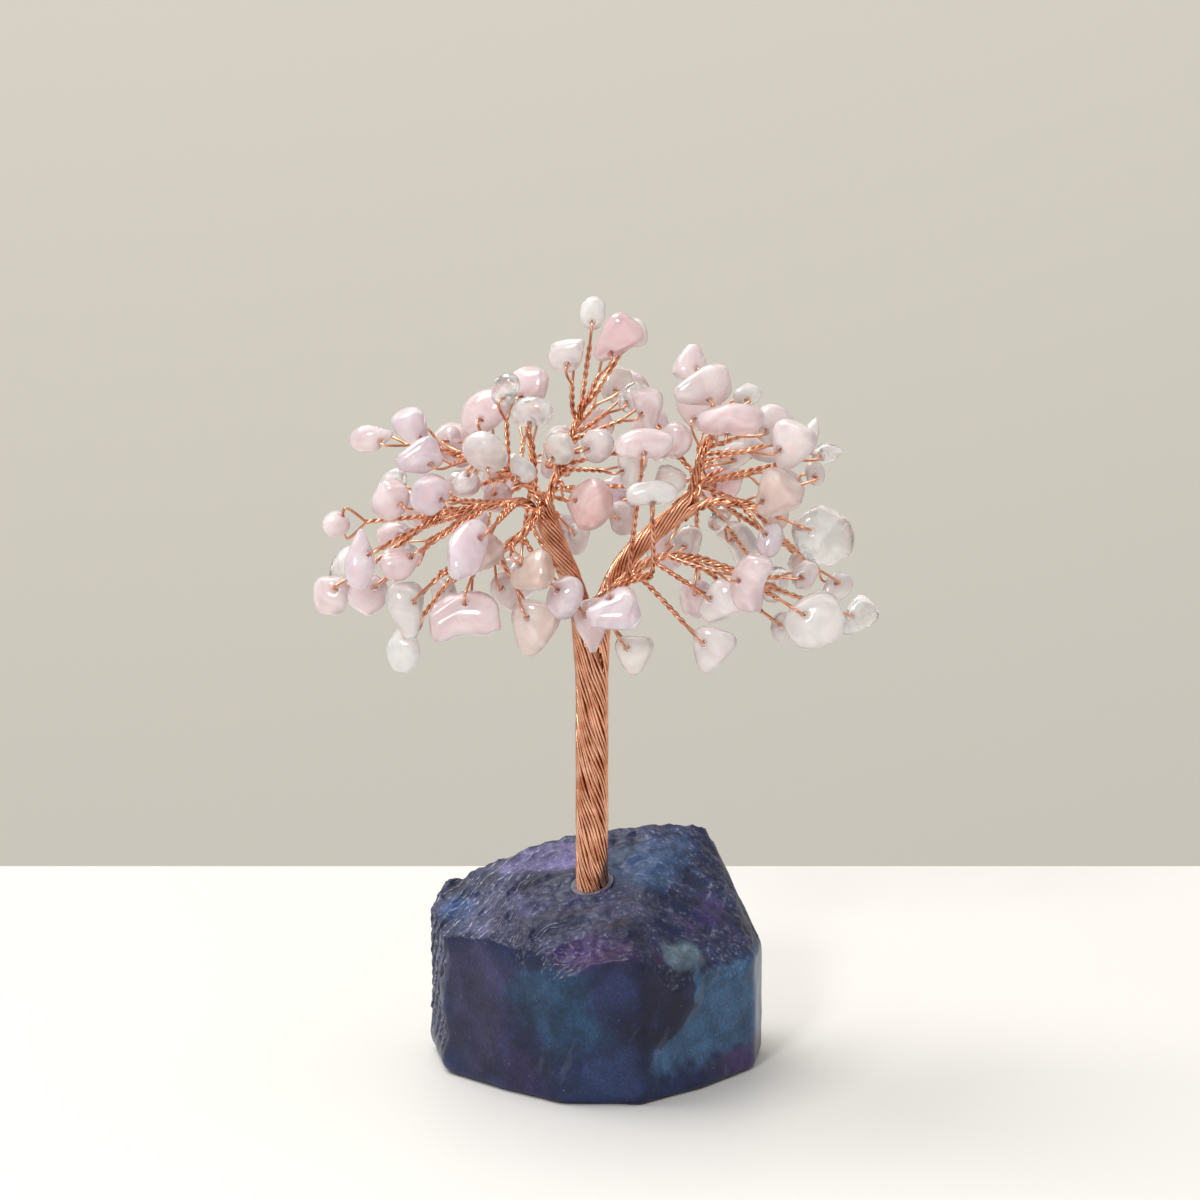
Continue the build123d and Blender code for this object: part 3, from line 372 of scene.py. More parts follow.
copper.node_tree.links.new(drawn_bump.outputs["Normal"], copper_shader.inputs["Normal"])
copper_shader.inputs["Metallic"].default_value = 1.0
print("material", copper.name)

# %% [markdown]
# A wire is a curve with a round bevel. The strands of a rope are the same curve shifted to a ring round
# the rope's line and turned steadily along it: that is the lay. The line itself is a smooth NURBS curve
# through the route's points. Two directions square to the line are carried along it without twist, so the
# lay comes only from the turn that is added. The curve is made a mesh at the end, so it can take faces and
# attributes like any other piece.

# %% Lines and strands
def smooth_line(points, step):
    """Points a step apart along a smooth NURBS line that follows a route."""
    curve = bpy.data.curves.new("line", "CURVE")
    curve.dimensions = "3D"
    curve.resolution_u = 12
    spline = curve.splines.new("NURBS")
    spline.points.add(len(points) - 1)
    for knot, point in zip(spline.points, points):
        knot.co = (*point, 1)
    spline.order_u = 3
    spline.use_endpoint_u = True
    holder = bpy.data.objects.new("line", curve)
    mesh = bpy.data.meshes.new_from_object(holder)
    dense = [vertex.co.copy() for vertex in mesh.vertices]
    bpy.data.objects.remove(holder)
    bpy.data.curves.remove(curve)
    bpy.data.meshes.remove(mesh)
    lengths = [0.0]
    for before, after in zip(dense, dense[1:]):
        lengths.append(lengths[-1] + (after - before).length)
    count = max(2, round(lengths[-1] / step))
    wanted = np.linspace(0, lengths[-1], count + 1)
    columns = [np.interp(wanted, lengths, [point[axis] for point in dense]) for axis in range(3)]
    return [Vector(row) for row in zip(*columns)]


def square_pairs(points, side):
    """Two directions square to a line at each of its points, carried along without twist."""
    pairs = []
    across = Vector(side)
    for number in range(len(points)):
        ahead = points[min(number + 1, len(points) - 1)] - points[max(number - 1, 0)]
        direction = ahead.normalized()
        across = square_to(across, direction)
        pairs.append((across.copy(), direction.cross(across)))
    return pairs


def lay_strand(points, pairs, ring, phase, lay):
    """A strand on a ring round a line, turning left-handed once in each lay."""
    strand = []
    travelled = 0.0
    for number, (point, (first, second)) in enumerate(zip(points, pairs)):
        if number:
            travelled += (point - points[number - 1]).length
        angle = phase - 2 * math.pi * travelled / lay
        radius = ring(travelled) if callable(ring) else ring
        strand.append(point + first * (radius * math.cos(angle)) + second * (radius * math.sin(angle)))
    return strand


def wire_piece(name, lines, thickness=WIRE, sides=2):
    """A mesh piece of round wires that follow lines given in millimetres."""
    curve = bpy.data.curves.new(name, "CURVE")
    curve.dimensions = "3D"
    curve.bevel_depth = thickness / 2 * MM
    curve.bevel_resolution = sides
    curve.use_fill_caps = True
    for line in lines:
        spline = curve.splines.new("POLY")
        spline.points.add(len(line) - 1)
        for knot, point in zip(spline.points, line):
            knot.co = (*(point * MM), 1)
    holder = bpy.data.objects.new(name, curve)
    mesh = bpy.data.meshes.new_from_object(holder)
    bpy.data.objects.remove(holder)
    bpy.data.curves.remove(curve)
    mesh.name = name
    mesh.shade_smooth()
    mesh.materials.clear()
    mesh.materials.append(copper)
    piece = bpy.data.objects.new(name, mesh)
    bpy.context.scene.collection.objects.link(piece)
    return piece


def seat_piece(piece, body, replaced):
    """Lets a piece ride on a body and stand for its measured solid."""
    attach(piece, body)
    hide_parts(*replaced)


# %% [markdown]
# The trunk is a rope of many wires. Its outer strands climb in a left-handed lay and part at the fork:
# those on the left go into the left limb, the rest into the right one. Each strand is one unbroken wire
# from the socket through its limb and some way up a bough. Where two ropes meet, the strand's place slides
# from the ring of the one to the ring of the other, and every strand wanders a little, because the rope was
# twisted by hand.

# %% Trunk and limb strands
random.seed(7)
STRAND_RING = TRUNK / 2 - WIRE / 2
TRUNK_STRANDS = 28
FORK_BLEND = (64.0, 79.0)
LIMB_LAY = 24.0
FAN_RING = 0.62
FAN_LAY = 11.0
FAN_BLEND = 5.0
STEP = 0.9


def ease(share):
    """A smooth step from 0 to 1."""
    share = max(0.0, min(1.0, share))
    return share * share * (3 - 2 * share)


def wander(amount, period):
    """A slow random wave along a strand."""
    phase = random.uniform(0, 2 * math.pi)
    period = period * random.uniform(0.8, 1.3)
    return lambda travelled: amount * math.sin(phase + 2 * math.pi * travelled / period)


def trunk_side(angle, height, ring, sway):
    """A strand's place on the trunk's ring at a height."""
    turn = angle - 2 * math.pi * (height - FORK.z) / TRUNK_LAY + sway(height)
    return Vector((ring * math.cos(turn), ring * math.sin(turn), height))


def fan_out(end, direction, boughs):
    """The rest of a strand, from its limb's end some way along the nearest bough."""
    route = min(boughs, key=lambda points: (points[0] - end).length)
    line = smooth_line(route, STEP)
    line = line[: round(random.uniform(9, 17) / STEP)]
    pairs = square_pairs(line, end - route[0])
    round_bough = lay_strand(line, pairs, FAN_RING, random.uniform(-0.5, 0.5), FAN_LAY)
    rest = []
    for number, place in enumerate(round_bough[1:], 1):
        ahead = end + direction * (STEP * number)
        rest.append(ahead.lerp(place, ease(STEP * number / FAN_BLEND)))
    return rest


def limb_strands(limb, diameter, angles, inner, middle, boughs):
    """Strands that climb the trunk, lie evenly round one limb and fan out into its boughs."""
    below = [Vector((limb[0].x, limb[0].y, TRUNK_FOOT)), limb[0] - UP * 6]
    line = smooth_line(below + limb, STEP)
    pairs = square_pairs(line, (1, 0, 0))
    direction = (limb[-1] - limb[-2]).normalized()
    ring = diameter / 2 - WIRE / 2
    total = len(angles) + inner
    turned = 2 * math.pi * (FORK.z - TRUNK_FOOT) / LIMB_LAY
    strands = []
    for number in range(total):
        sway = wander(0.08, 14)
        lift = wander(0.05, 11)
        limb_angle = middle + (number - (len(angles) - 1) / 2) * 2 * math.pi / total
        swelling = lambda travelled: ring + lift(travelled)
        limb_side = lay_strand(line, pairs, swelling, limb_angle + turned, LIMB_LAY)
        angle = limb_angle
        trunk_ring = STRAND_RING * 0.6
        if number < len(angles):
            angle = angles[number]
            trunk_ring = STRAND_RING + lift(angle) * 0.5
        strand = []
        for point, own in zip(line, limb_side):
            share = ease((point.z - FORK_BLEND[0]) / (FORK_BLEND[1] - FORK_BLEND[0]))
            strand.append(trunk_side(angle, point.z, trunk_ring, sway).lerp(own, share))
        strands.append(strand + fan_out(strand[-1], direction, boughs))
    core = [point for point in line if point.z > FORK.z - 5]
    return strands, core


left_boughs = [BOUGHS[name][0] for name in ("crown", "left_top", "left_side", "left_low", "left_back")]
right_boughs = [BOUGHS[name][0] for name in ("right_top", "right_side", "right_back")]
angles = [2 * math.pi * (number + 0.5) / TRUNK_STRANDS + math.pi / 2 for number in range(TRUNK_STRANDS)]
left_angles = angles[: TRUNK_STRANDS // 2]
right_angles = angles[TRUNK_STRANDS // 2 :]
LEFT_INNER = 4
RIGHT_INNER = 3
left_strands, left_core = limb_strands(left_limb, LEFT_LIMB, left_angles, LEFT_INNER, math.pi, left_boughs)
right_strands, right_core = limb_strands(
    right_limb, RIGHT_LIMB, right_angles, RIGHT_INNER, 2 * math.pi, right_boughs
)

trunk_piece = wire_piece("trunk_wires", left_strands + right_strands)
seat_piece(trunk_piece, "tree", ["trunk_strands", "left_limb", "right_limb"])
LIMB_FILL = 2.3
limb_fill = wire_piece("limb_inner_wires", [left_core, right_core], LIMB_FILL, 3)
seat_piece(limb_fill, "tree", [])
print("strands", len(left_strands) + len(right_strands), "faces", len(trunk_piece.data.polygons))

# %% [markdown]
# A bough is a thin rope of twisted pairs: the twigs run on down it. A twig leaves it for each chip: one
# wire, folded in half through the chip's hole, its two legs twisted together down to the bough. The twist is
# a two-strand lay of about 2.8 mm a turn. It is worked out from the neck backwards, so that the legs part
# exactly to the two faces of the chip, run over its rim and meet in its hole.

# %% Boughs and twigs
BOUGH_LAY = 15.0
BOUGH_PAIRS = 3
PAIR_RING = 0.3
TWIG_LAY = 2.8
TWIG_STEP = 0.32
TWIG_GRIP = 0.2
TWIG_RISE = 1.2
TWIG_LEAD = 0.8
TWIG_SHORT = 2.6
TWIG_PEEL_ANGLE = math.radians(8)
EYE_GAP = 0.5
EYE_NECK = 2.0
EYE_SHOULDER = 0.92
FIRST_TWIG = 0.14
HOLE_SHARE = 0.45
SWING_ROOM = 1.12
HANG_SQUARE = 0.85


def point_along(route, share):
    """The point and direction at a share of a route's length."""
    runs = [end - start for start, end in zip(route, route[1:])]
    remaining = share * sum(run.length for run in runs)
    for start, run in zip(route, runs):
        if remaining <= run.length + 1e-6:
            return start + run.normalized() * remaining, run.normalized()
        remaining -= run.length
    return route[-1], runs[-1].normalized()


def reach_order(chip, route):
    """Sorts chips from a bough's root to its tip: near ones and ones far to its side come first."""
    bough_line = (route[-1] - route[1]).normalized()
    to_chip = FORK + Vector(chip[:3]) - route[1]
    along = to_chip.dot(bough_line)
    return along - (to_chip - bough_line * along).length


def chip_seat(chip, route, share):
    """Where a chip's hole, its drilled axis and its twig's root and neck are."""
    x, y, z, length, breadth, thickness, lean, turn, tip = chip[:9]
    middle = FORK + Vector((x, y, z))
    root, bough_direction = point_along(route, share)
    reach = (root - middle).normalized()
    turn, tip, lean = math.radians(turn), math.radians(tip), math.radians(lean)
    facing = Vector((math.sin(turn) * math.cos(tip), -math.cos(turn) * math.cos(tip), math.sin(tip)))
    facing = (facing - reach * facing.dot(reach) * HANG_SQUARE).normalized()
    upright = square_to(UP, facing)
    sideways = upright.cross(facing)
    long_axis = upright * math.cos(lean) + sideways * math.sin(lean)
    broad_axis = facing.cross(long_axis)
    toward_root = square_to(reach, facing)
    along_share = toward_root.dot(long_axis) / (length / 2)
    broad_share = toward_root.dot(broad_axis) / (breadth / 2)
    rim = 1 / math.hypot(along_share, broad_share)
    hole = middle + toward_root * (rim * HOLE_SHARE)
    neck = hole + toward_root * (rim * (1 - HOLE_SHARE) * SWING_ROOM + EYE_NECK)
    shoulder = hole + toward_root * (rim * (1 - HOLE_SHARE) * EYE_SHOULDER)
    eye_reach = facing * (thickness / 2 + EYE_GAP + WIRE / 2)
    return root, bough_direction, neck, shoulder, hole, eye_reach, facing


def twig_line(seat):
    """One wire: up to the neck in a twist, round the eye through the hole, and back down."""
    root, bough_direction, neck, shoulder, hole, eye_reach, facing = seat
    to_neck = (neck - root).normalized()
    stem = [root]
    if bough_direction.angle(to_neck) > TWIG_PEEL_ANGLE:
        outward = square_to(to_neck, bough_direction)
        stem = [root + outward * (BOUGH / 2 - TWIG_GRIP)]
        if (neck - stem[0]).dot(outward) > TWIG_SHORT:
            stem.append(stem[0] + outward * TWIG_RISE + bough_direction * TWIG_LEAD)
    stem.append(neck)
    line = smooth_line(stem[::-1], TWIG_STEP)
    pairs = square_pairs(line, facing)
    near_leg = lay_strand(line, pairs, WIRE / 2, 0.0, TWIG_LAY)
    far_leg = lay_strand(line, pairs, WIRE / 2, math.pi, TWIG_LAY)
    near_eye = smooth_line([neck + facing * WIRE / 2, shoulder + eye_reach, hole + eye_reach, hole], 0.4)
    far_eye = smooth_line([neck - facing * WIRE / 2, shoulder - eye_reach, hole - eye_reach, hole], 0.4)
    return near_leg[::-1] + near_eye[1:] + far_eye[-2:0:-1] + far_leg


twig_total = 0
seats = {}
for bough_name, (route, chips) in BOUGHS.items():
    line = smooth_line([route[0] - (route[1] - route[0])] + route, TWIG_STEP)
    pairs = square_pairs(line, (0.3, 1, 0.2))
    strands = []
    for number in range(BOUGH_PAIRS):
        pair_line = lay_strand(line, pairs, PAIR_RING, 2 * math.pi * number / BOUGH_PAIRS, BOUGH_LAY)
        pair_sides = square_pairs(pair_line, (0.3, 1, 0.2))
        strands.append(lay_strand(pair_line, pair_sides, WIRE / 2, number, TWIG_LAY))
        strands.append(lay_strand(pair_line, pair_sides, WIRE / 2, number + math.pi, TWIG_LAY))
    bough_piece = wire_piece(f"{bough_name}_bough_wires", strands)
    seat_piece(bough_piece, "tree", [f"{bough_name}_bough"])
    twig_lines = []
    ordered = sorted(chips, key=lambda chip: reach_order(chip, route))
    for number, chip in enumerate(ordered):
        share = FIRST_TWIG + (1 - FIRST_TWIG) * (number + 1) / len(chips)
        seats[chip] = chip_seat(chip, route, share)
        twig_lines.append(twig_line(seats[chip]))
    twig_piece = wire_piece(f"{bough_name}_twig_wires", twig_lines)
    seat_piece(twig_piece, "tree", [f"{bough_name}_twigs"])
    twig_total += len(twig_piece.data.polygons)
print("twigs", len(seats), "faces", twig_total)

# %% [markdown]
# The wires inside the trunk are hidden by the outer ones up to the fork, where they part into the limbs too. A
# copy of the measured core stands for them. It narrows where the strands begin to part, so no flat end shows
# between the limbs.

# %% Core of the trunk
CORE_NARROWS = 63.5
CORE_TIP = 0.2
MERGE_GAP = 0.001
TOP_FACE = 0.01


def merged_copy(node_name):
    """A working copy of a measured solid with its loose triangles merged."""
    work = bmesh.new()
    work.from_mesh(nodes[node_name].data)
    bmesh.ops.remove_doubles(work, verts=work.verts, dist=MERGE_GAP * MM)
    return work


def piece_from(work, name, material):
    """A named piece of one material from a working mesh."""
    mesh = bpy.data.meshes.new(name)
    work.to_mesh(mesh)
    work.free()
    mesh.materials.append(material)
    piece = bpy.data.objects.new(name, mesh)
    bpy.context.scene.collection.objects.link(piece)
    return piece


work = merged_copy("trunk_core")
core_parts = work.verts[:] + work.edges[:] + work.faces[:]
bmesh.ops.bisect_plane(work, geom=core_parts, plane_co=(0, 0, CORE_NARROWS * MM), plane_no=UP)
core_top = max(vertex.co.z for vertex in work.verts)
for vertex in work.verts:
    if vertex.co.z > core_top - TOP_FACE * MM:
        vertex.co.xy = vertex.co.xy * CORE_TIP
trunk_core = piece_from(work, "trunk_core_wires", copper)
seat_piece(trunk_core, "tree", ["trunk_core"])
print("core faces", len(trunk_core.data.polygons), "top", round(core_top / MM, 1))

# %% [markdown]
# Rose quartz is a cloudy quartz: light enters it, scatters on fine threads inside and comes out pink and
# soft. Tumbling leaves a wet-looking surface with small, sharp highlights. Each chip has its own tint, from
# nearly white to salmon, with paler veils a few millimetres wide, so the tint is kept as a colour attribute
# on the mesh and the veils are noise on top of it. A few chips have hardly any threads: they are clear and
# show what lies behind them. Quartz has an IOR of 1.544. The two materials differ in how much of the light
# goes straight through, which the veils lower, and in the haze inside. The polish of the skin is a thin clear
# coat, so a hazy stone still has a sharp highlight.

# %% Tumbled rose quartz
TINTS = {
    "salmon": "F3CFCD",
    "rose": "F5D5D9",
    "pink": "F6DFE2",
    "blush": "F7E1E3",
    "pale": "F7E9EA",
    "lavender": "F2E2EB",
    "cream": "F6EAE6",
    "white": "FBF5F5",
    "grey": "F2EAE9",
    "tan": "F3DDD7",
    "clear": "FBF8F8",
    "smoky": "E2CBC0",
    "veined": "F5EDE8",
}
VEIL = 4.5
FLECK = 1.4
PIT = 0.9


def quartz_material(name, clear_range, haze, fleck_strength):
    """Quartz with its tint from the mesh, cloudy veils, brown flecks and a tumbled skin."""
    material, shader = new_material(name)
    place = add_node(material, "ShaderNodeTexCoord").outputs["Object"]
    tint = add_node(material, "ShaderNodeAttribute", attribute_name="tint").outputs["Color"]
    veil = grain_noise(material, place, VEIL, Detail=2.5, Distortion=0.6)
    veil_amount = ramp(material, veil.outputs["Fac"], [(0.48, 0.0), (0.75, 0.45)])
    veiled = blend_colours(material, veil_amount, tint, linear("FCF9F9"))
    fleck = grain_noise(material, place, FLECK, Detail=6.0)
    fleck_amount = ramp(material, fleck.outputs["Fac"], [(0.64, 0.0), (0.82, fleck_strength)])
    flecked = blend_colours(material, fleck_amount, veiled, linear("A58F8A"))
    through = add_node(material, "ShaderNodeMapRange", {"Value": veil.outputs["Fac"]})
    through.inputs["From Min"].default_value = 0.4
    through.inputs["From Max"].default_value = 0.7
    through.inputs["To Min"].default_value = clear_range[0]
    through.inputs["To Max"].default_value = clear_range[1]
    pit = grain_noise(material, place, PIT, Detail=3.0)
    pit_height = {"Height": pit.outputs["Fac"]}
    skin = add_node(material, "ShaderNodeBump", pit_height, Strength=0.05, Distance=0.08 * MM)
    material.node_tree.links.new(flecked, shader.inputs["Base Color"])
    material.node_tree.links.new(through.outputs["Result"], shader.inputs["Transmission Weight"])
    material.node_tree.links.new(skin.outputs["Normal"], shader.inputs["Normal"])
    shader.inputs["Roughness"].default_value = haze
    shader.inputs["IOR"].default_value = 1.544
    shader.inputs["Subsurface Weight"].default_value = 0.9
    shader.inputs["Subsurface Radius"].default_value = (1.0, 0.8, 0.82)
    shader.inputs["Subsurface Scale"].default_value = 4.0 * MM
    shader.inputs["Coat Weight"].default_value = 0.7
    shader.inputs["Coat Roughness"].default_value = 0.03
    return material


rose_quartz = quartz_material("tumbled rose quartz", (0.6, 0.44), 0.1, 0.2)
clear_quartz = quartz_material("tumbled clear quartz", (0.95, 0.45), 0.06, 0.5)
print("materials", rose_quartz.name, clear_quartz.name, "tints", len(TINTS))

# %% [markdown]
# The chips are copies of the measured chips, holes and all. A copy is merged first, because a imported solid
# is loose triangles. A voxel remesh then gives it an even skin that can be worked like clay: each chip is
# flattened by a few planes chosen at random, as broken stone is, and smoothed, as tumbling does. The planes
# only take material away, so no chip grows past its measured solid.

# %% Chips
CHIP_VOXEL = 0.26
CHIP_FACETS = 6
FACET_KEEP = (0.84, 0.97)
TUMBLING = 8


def islands(mesh):
    """Lists of vertex numbers, one list for each separate shell of a mesh."""
    owner = list(range(len(mesh.vertices)))

    def head(number):
        while owner[number] != number:
            owner[number] = owner[owner[number]]
            number = owner[number]
        return number

    for edge in mesh.edges:
        first, second = head(edge.vertices[0]), head(edge.vertices[1])
        if first != second:
            owner[first] = second
    shells = {}
    for number in range(len(owner)):
        shells.setdefault(head(number), []).append(number)
    return list(shells.values())


def remeshed_copy(node_name, voxel):
    """A merged, evenly remeshed copy of a measured solid."""
    work = merged_copy(node_name)
    mesh = bpy.data.meshes.new(f"{node_name}_skin")
    work.to_mesh(mesh)
    work.free()
    piece = bpy.data.objects.new(f"{node_name}_skin", mesh)
    bpy.context.scene.collection.objects.link(piece)
    remesh = piece.modifiers.new("even skin", "REMESH")
    remesh.mode = "VOXEL"
    remesh.voxel_size = voxel * MM
    bpy.context.view_layer.update()
    shaped = bpy.data.meshes.new_from_object(piece.evaluated_get(bpy.context.evaluated_depsgraph_get()))
    piece.modifiers.clear()
    piece.data = shaped
    bpy.data.meshes.remove(mesh)
    return piece


def smooth_skin(mesh, times, highest=2.0):
    """Rounds a skin a few times, only where it faces no further up than a limit."""
    work = bmesh.new()
    work.from_mesh(mesh)
    worn = [vertex for vertex in work.verts if vertex.normal.z < highest]
    for turn in range(times):
        bmesh.ops.smooth_vert(
            work, verts=worn, factor=0.5, use_axis_x=True, use_axis_y=True, use_axis_z=True
        )
    work.to_mesh(mesh)
    work.free()


def tumble(points, seed):
    """Flattens a chip's points by a few planes that each take a little off."""
    picker = np.random.default_rng(seed)
    middle = (points.min(0) + points.max(0)) / 2
    for number in range(CHIP_FACETS):
        direction = picker.normal(size=3)
        direction /= np.linalg.norm(direction)
        height = (points - middle) @ direction
        keep = height.max() * picker.uniform(*FACET_KEEP)
        points = points - np.outer(np.maximum(height - keep, 0), direction)
    return points


def chip_piece(node_name, chips, body):
    """A tumbled, tinted copy of one measured chip or group of chips."""
    piece = remeshed_copy(node_name, CHIP_VOXEL)
    mesh = piece.data
    count = len(mesh.vertices)
    points = np.empty(count * 3)
    mesh.vertices.foreach_get("co", points)
    points = points.reshape(-1, 3)
    colours = np.ones((count, 4))
    is_clear = np.zeros(count, dtype=bool)
    for shell in islands(mesh):
        shell = np.array(shell)
        middle = Vector((points[shell].min(0) + points[shell].max(0)) / 2) / MM - FORK
        chip = min(chips, key=lambda one: (Vector(one[:3]) - middle).length)
        seed = int(abs(chip[0] * 131 + chip[1] * 37 + chip[2] * 11) * 10)
        points[shell] = tumble(points[shell], seed)
        colours[shell] = linear(TINTS[chip[9]])
        is_clear[shell] = chip[9] == "clear"
    mesh.vertices.foreach_set("co", points.ravel())
    smooth_skin(mesh, TUMBLING)
    tint_layer = mesh.attributes.new("tint", "FLOAT_COLOR", "POINT")
    tint_layer.data.foreach_set("color", colours.ravel())
    mesh.shade_smooth()
    mesh.materials.clear()
    mesh.materials.append(rose_quartz)
    mesh.materials.append(clear_quartz)
    for face in mesh.polygons:
        face.material_index = int(is_clear[face.vertices[0]])
    seat_piece(piece, body, [node_name])
    return len(mesh.polygons)


chip_faces = 0
for bough_name, (route, chips) in BOUGHS.items():
    fixed = [chip for chip in chips if len(chip) == 10]
    chip_faces += chip_piece(f"{bough_name}_chips", fixed, "tree")
    for chip in chips:
        if len(chip) > 10:
            chip_faces += chip_piece(f"loose_{chip[10]}_chip", [chip], f"{chip[10]}_chip")
print("chip faces", chip_faces)

# %% [markdown]
# Fluorite breaks along flat cleavage planes, and where it is broken across them it shows fine terraces, the
# edges of its growth layers, that glint like silk. Its colour lies in zones: ink blue and violet, with a teal
# window at the right where the dark skin has broken away, and frosty grey where the surface is crushed. The
# stone is a remeshed copy of the measured stone. Its zones are chosen by place and softened with noise, then
# painted on the mesh as attributes. Handling has rounded the sides, so they are smoothed more than the top.
# The terraces are cut along the layers, about half a millimetre deep, between the measured ledges. The same
# share also marks where the material paints their glint as pale lines.

# %% Zones of the stone
# Each zone: its middle and its half widths in millimetres, its colour and how strongly it covers
STONE_GROUND = "1A2140"
STONE_ZONES = [
    ((-18.0, -10.0, 14.0), (7.0, 12.0, 14.0), "2B2947", 0.9),
    ((-5.0, -19.0, 15.0), (8.0, 9.0, 9.0), "1C3650", 0.9),
    ((11.0, -17.0, 15.0), (7.0, 8.0, 7.0), "13162D", 0.9),
    ((3.0, -19.0, 5.0), (12.0, 8.0, 5.0), "1E2A4A", 0.8),
    ((-11.0, -16.0, 3.0), (6.0, 6.0, 5.0), "2A2243", 0.8),
    ((2.0, -18.5, 25.0), (9.0, 4.5, 3.2), "301F47", 0.9),
    ((21.0, -3.0, 26.0), (6.0, 7.0, 4.0), "392C5E", 0.9),
    ((23.0, -5.0, 3.0), (6.0, 6.0, 4.0), "3C2A58", 0.8),
    ((-22.0, 1.0, 27.0), (3.4, 7.0, 5.0), "1B3A68", 0.9),
    ((9.0, 4.0, 34.0), (10.0, 8.0, 6.0), "2B4468", 0.8),
    ((-6.0, 10.0, 33.0), (9.0, 5.0, 6.0), "5B557E", 0.8),
    ((-13.0, -4.0, 28.0), (9.0, 8.0, 5.0), "3F4262", 0.85),
    ((2.0, -8.0, 29.0), (9.0, 6.0, 4.0), "343851", 0.85),
    ((15.5, -12.0, 23.0), (4.2, 3.4, 2.4), "5C7280", 0.8),
    ((-12.0, 20.0, 14.0), (10.0, 6.0, 9.0), "2B2A4E", 0.8),
    ((11.0, 22.0, 19.0), (9.0, 6.0, 9.0), "24436A", 0.8),
    ((0.0, 23.0, 4.0), (9.0, 5.0, 5.0), "33264C", 0.8),
    ((27.0, 9.0, 12.0), (5.0, 8.0, 9.0), "1E345C", 0.8),
]
TEAL_WINDOW = "2E4B6A"
STONE_VOXEL = 0.45
LAYER = 2.4
RELIEF = 0.6
SIDE_WEAR = 20
CRUMB = 0.55
BROAD_NOISE = 0.15
FINE_NOISE = 0.5
TOP_FACING = (0.3, 0.6)
LEFT_FACE = (23.0, 25.0)
# Where the layer terraces are cut and where their glint is painted as pale lines
TERRACE_GLINT_RANGE = (0.1, 0.9)
TEAL_EDGE = (17.0, 17.7)
TEAL_TOP = 20.5
TEAL_FOOT = (3.5, 6.5)
SOCKET_HEIGHT = 31.3
SOCKET_SLOPE = (0.18, 0.28)
# Each plane of the broken top: its height at a spot, its two slopes, and the spot
TOP_PLANES = [
    (SOCKET_HEIGHT, *SOCKET_SLOPE, 0.0, 0.0),
    (28.2, 0.46, 0.2, -16.0, 0.0),
    (20.4, -0.75, 0.5, 18.0, -12.6),
]


def fade(value, low, high):
    """A smooth step from 0 at the low value to 1 at the high one."""
    return ease((value - low) / (high - low))


def stone_colour(spot, grain, fine):
    """The stone's colour at a place: its zones laid over the ground one by one."""
    colour = np.array(linear(STONE_GROUND))
    for middle, widths, hex_colour, cover in STONE_ZONES:
        away = math.sqrt(sum(((spot[axis] - middle[axis]) / widths[axis]) ** 2 for axis in range(3)))
        share = cover * fade(1.25 - away + 0.7 * grain + 0.35 * fine, 0.0, 0.7)
        colour = colour + (np.array(linear(hex_colour)) - colour) * share
    return colour


def broken_surface(spot):
    """The height of the three planes that the stone's top was broken along."""
    heights = []
    for height, slope_x, slope_y, at_x, at_y in TOP_PLANES:
        heights.append(height + slope_x * (spot.x - at_x) + slope_y * (spot.y - at_y))
    return min(heights)


def layer_height(spot, fine):
    """Distance across the growth layers: they run back at the left and across at the right."""
    turn = math.radians(10 + 50 * fade(-spot.x, 6, 16))
    return -math.sin(turn) * spot.x + math.cos(turn) * spot.y + 0.5 * spot.z + 0.5 * fine


stone = remeshed_copy("base_stone", STONE_VOXEL)
stone_mesh = stone.data
smooth_skin(stone_mesh, 3)
smooth_skin(stone_mesh, SIDE_WEAR, 0.75)
count = len(stone_mesh.vertices)
places = np.empty(count * 3)
normals = np.empty(count * 3)
stone_mesh.vertices.foreach_get("co", places)
stone_mesh.vertex_normals.foreach_get("vector", normals)
places = places.reshape(-1, 3)
normals = normals.reshape(-1, 3)
colours = np.ones((count, 4))
rough_zone = np.zeros(count)
glint_line_zone = np.zeros(count)
layers = np.zeros(count)
for number in range(count):
    spot = Vector(places[number]) / MM
    normal = Vector(normals[number])
    grain = noise.noise(spot * BROAD_NOISE)
    fine = noise.noise(spot * FINE_NOISE)
    crumb = noise.voronoi(spot * CRUMB)[0][0]
    top = fade(normal.z + 0.3 * grain, *TOP_FACING)
    left = fade(-spot.x + 2 * grain, *LEFT_FACE) * fade(spot.z, 2, 6)
    spill = fade(2.4 + 6 * grain + 2 * fine - broken_surface(spot) + spot.z, 0.0, 1.2)
    rough = max(top, left, spill) * fade(spot.z, 1.0, 2.0)
    edge = spot.x + 2.0 * fine + 2.0 * grain - 1.1 * min(0.0, spot.z - 14)
    teal = fade(edge, *TEAL_EDGE) * fade(-spot.y + 2 * grain, -5, -1)
    teal = teal * fade(TEAL_TOP + fine - spot.z, 0, 1.5) * fade(spot.z + 2 * fine, *TEAL_FOOT)
    colour = stone_colour(spot, grain, fine)
    colours[number] = colour + (np.array(linear(TEAL_WINDOW)) - colour) * teal
    rough_zone[number] = rough
    # How deep the terraces are cut, and where the material paints their glint as pale lines
    terrace_glint = fade(0.4 * fine + 1.2 * grain - 0.08 * spot.x, *TERRACE_GLINT_RANGE)
    glint_line_zone[number] = rough * terrace_glint
    layers[number] = layer_height(spot, fine)
    terrace = (layers[number] / LAYER) % 1.0
    push = -RELIEF * (rough * (0.5 * terrace_glint * terrace + crumb) + (1 - rough) * 0.4 * abs(grain))
    places[number] += normals[number] * push * MM
stone_mesh.vertices.foreach_set("co", places.ravel())
colour_layer = stone_mesh.attributes.new("stone_colour", "FLOAT_COLOR", "POINT")
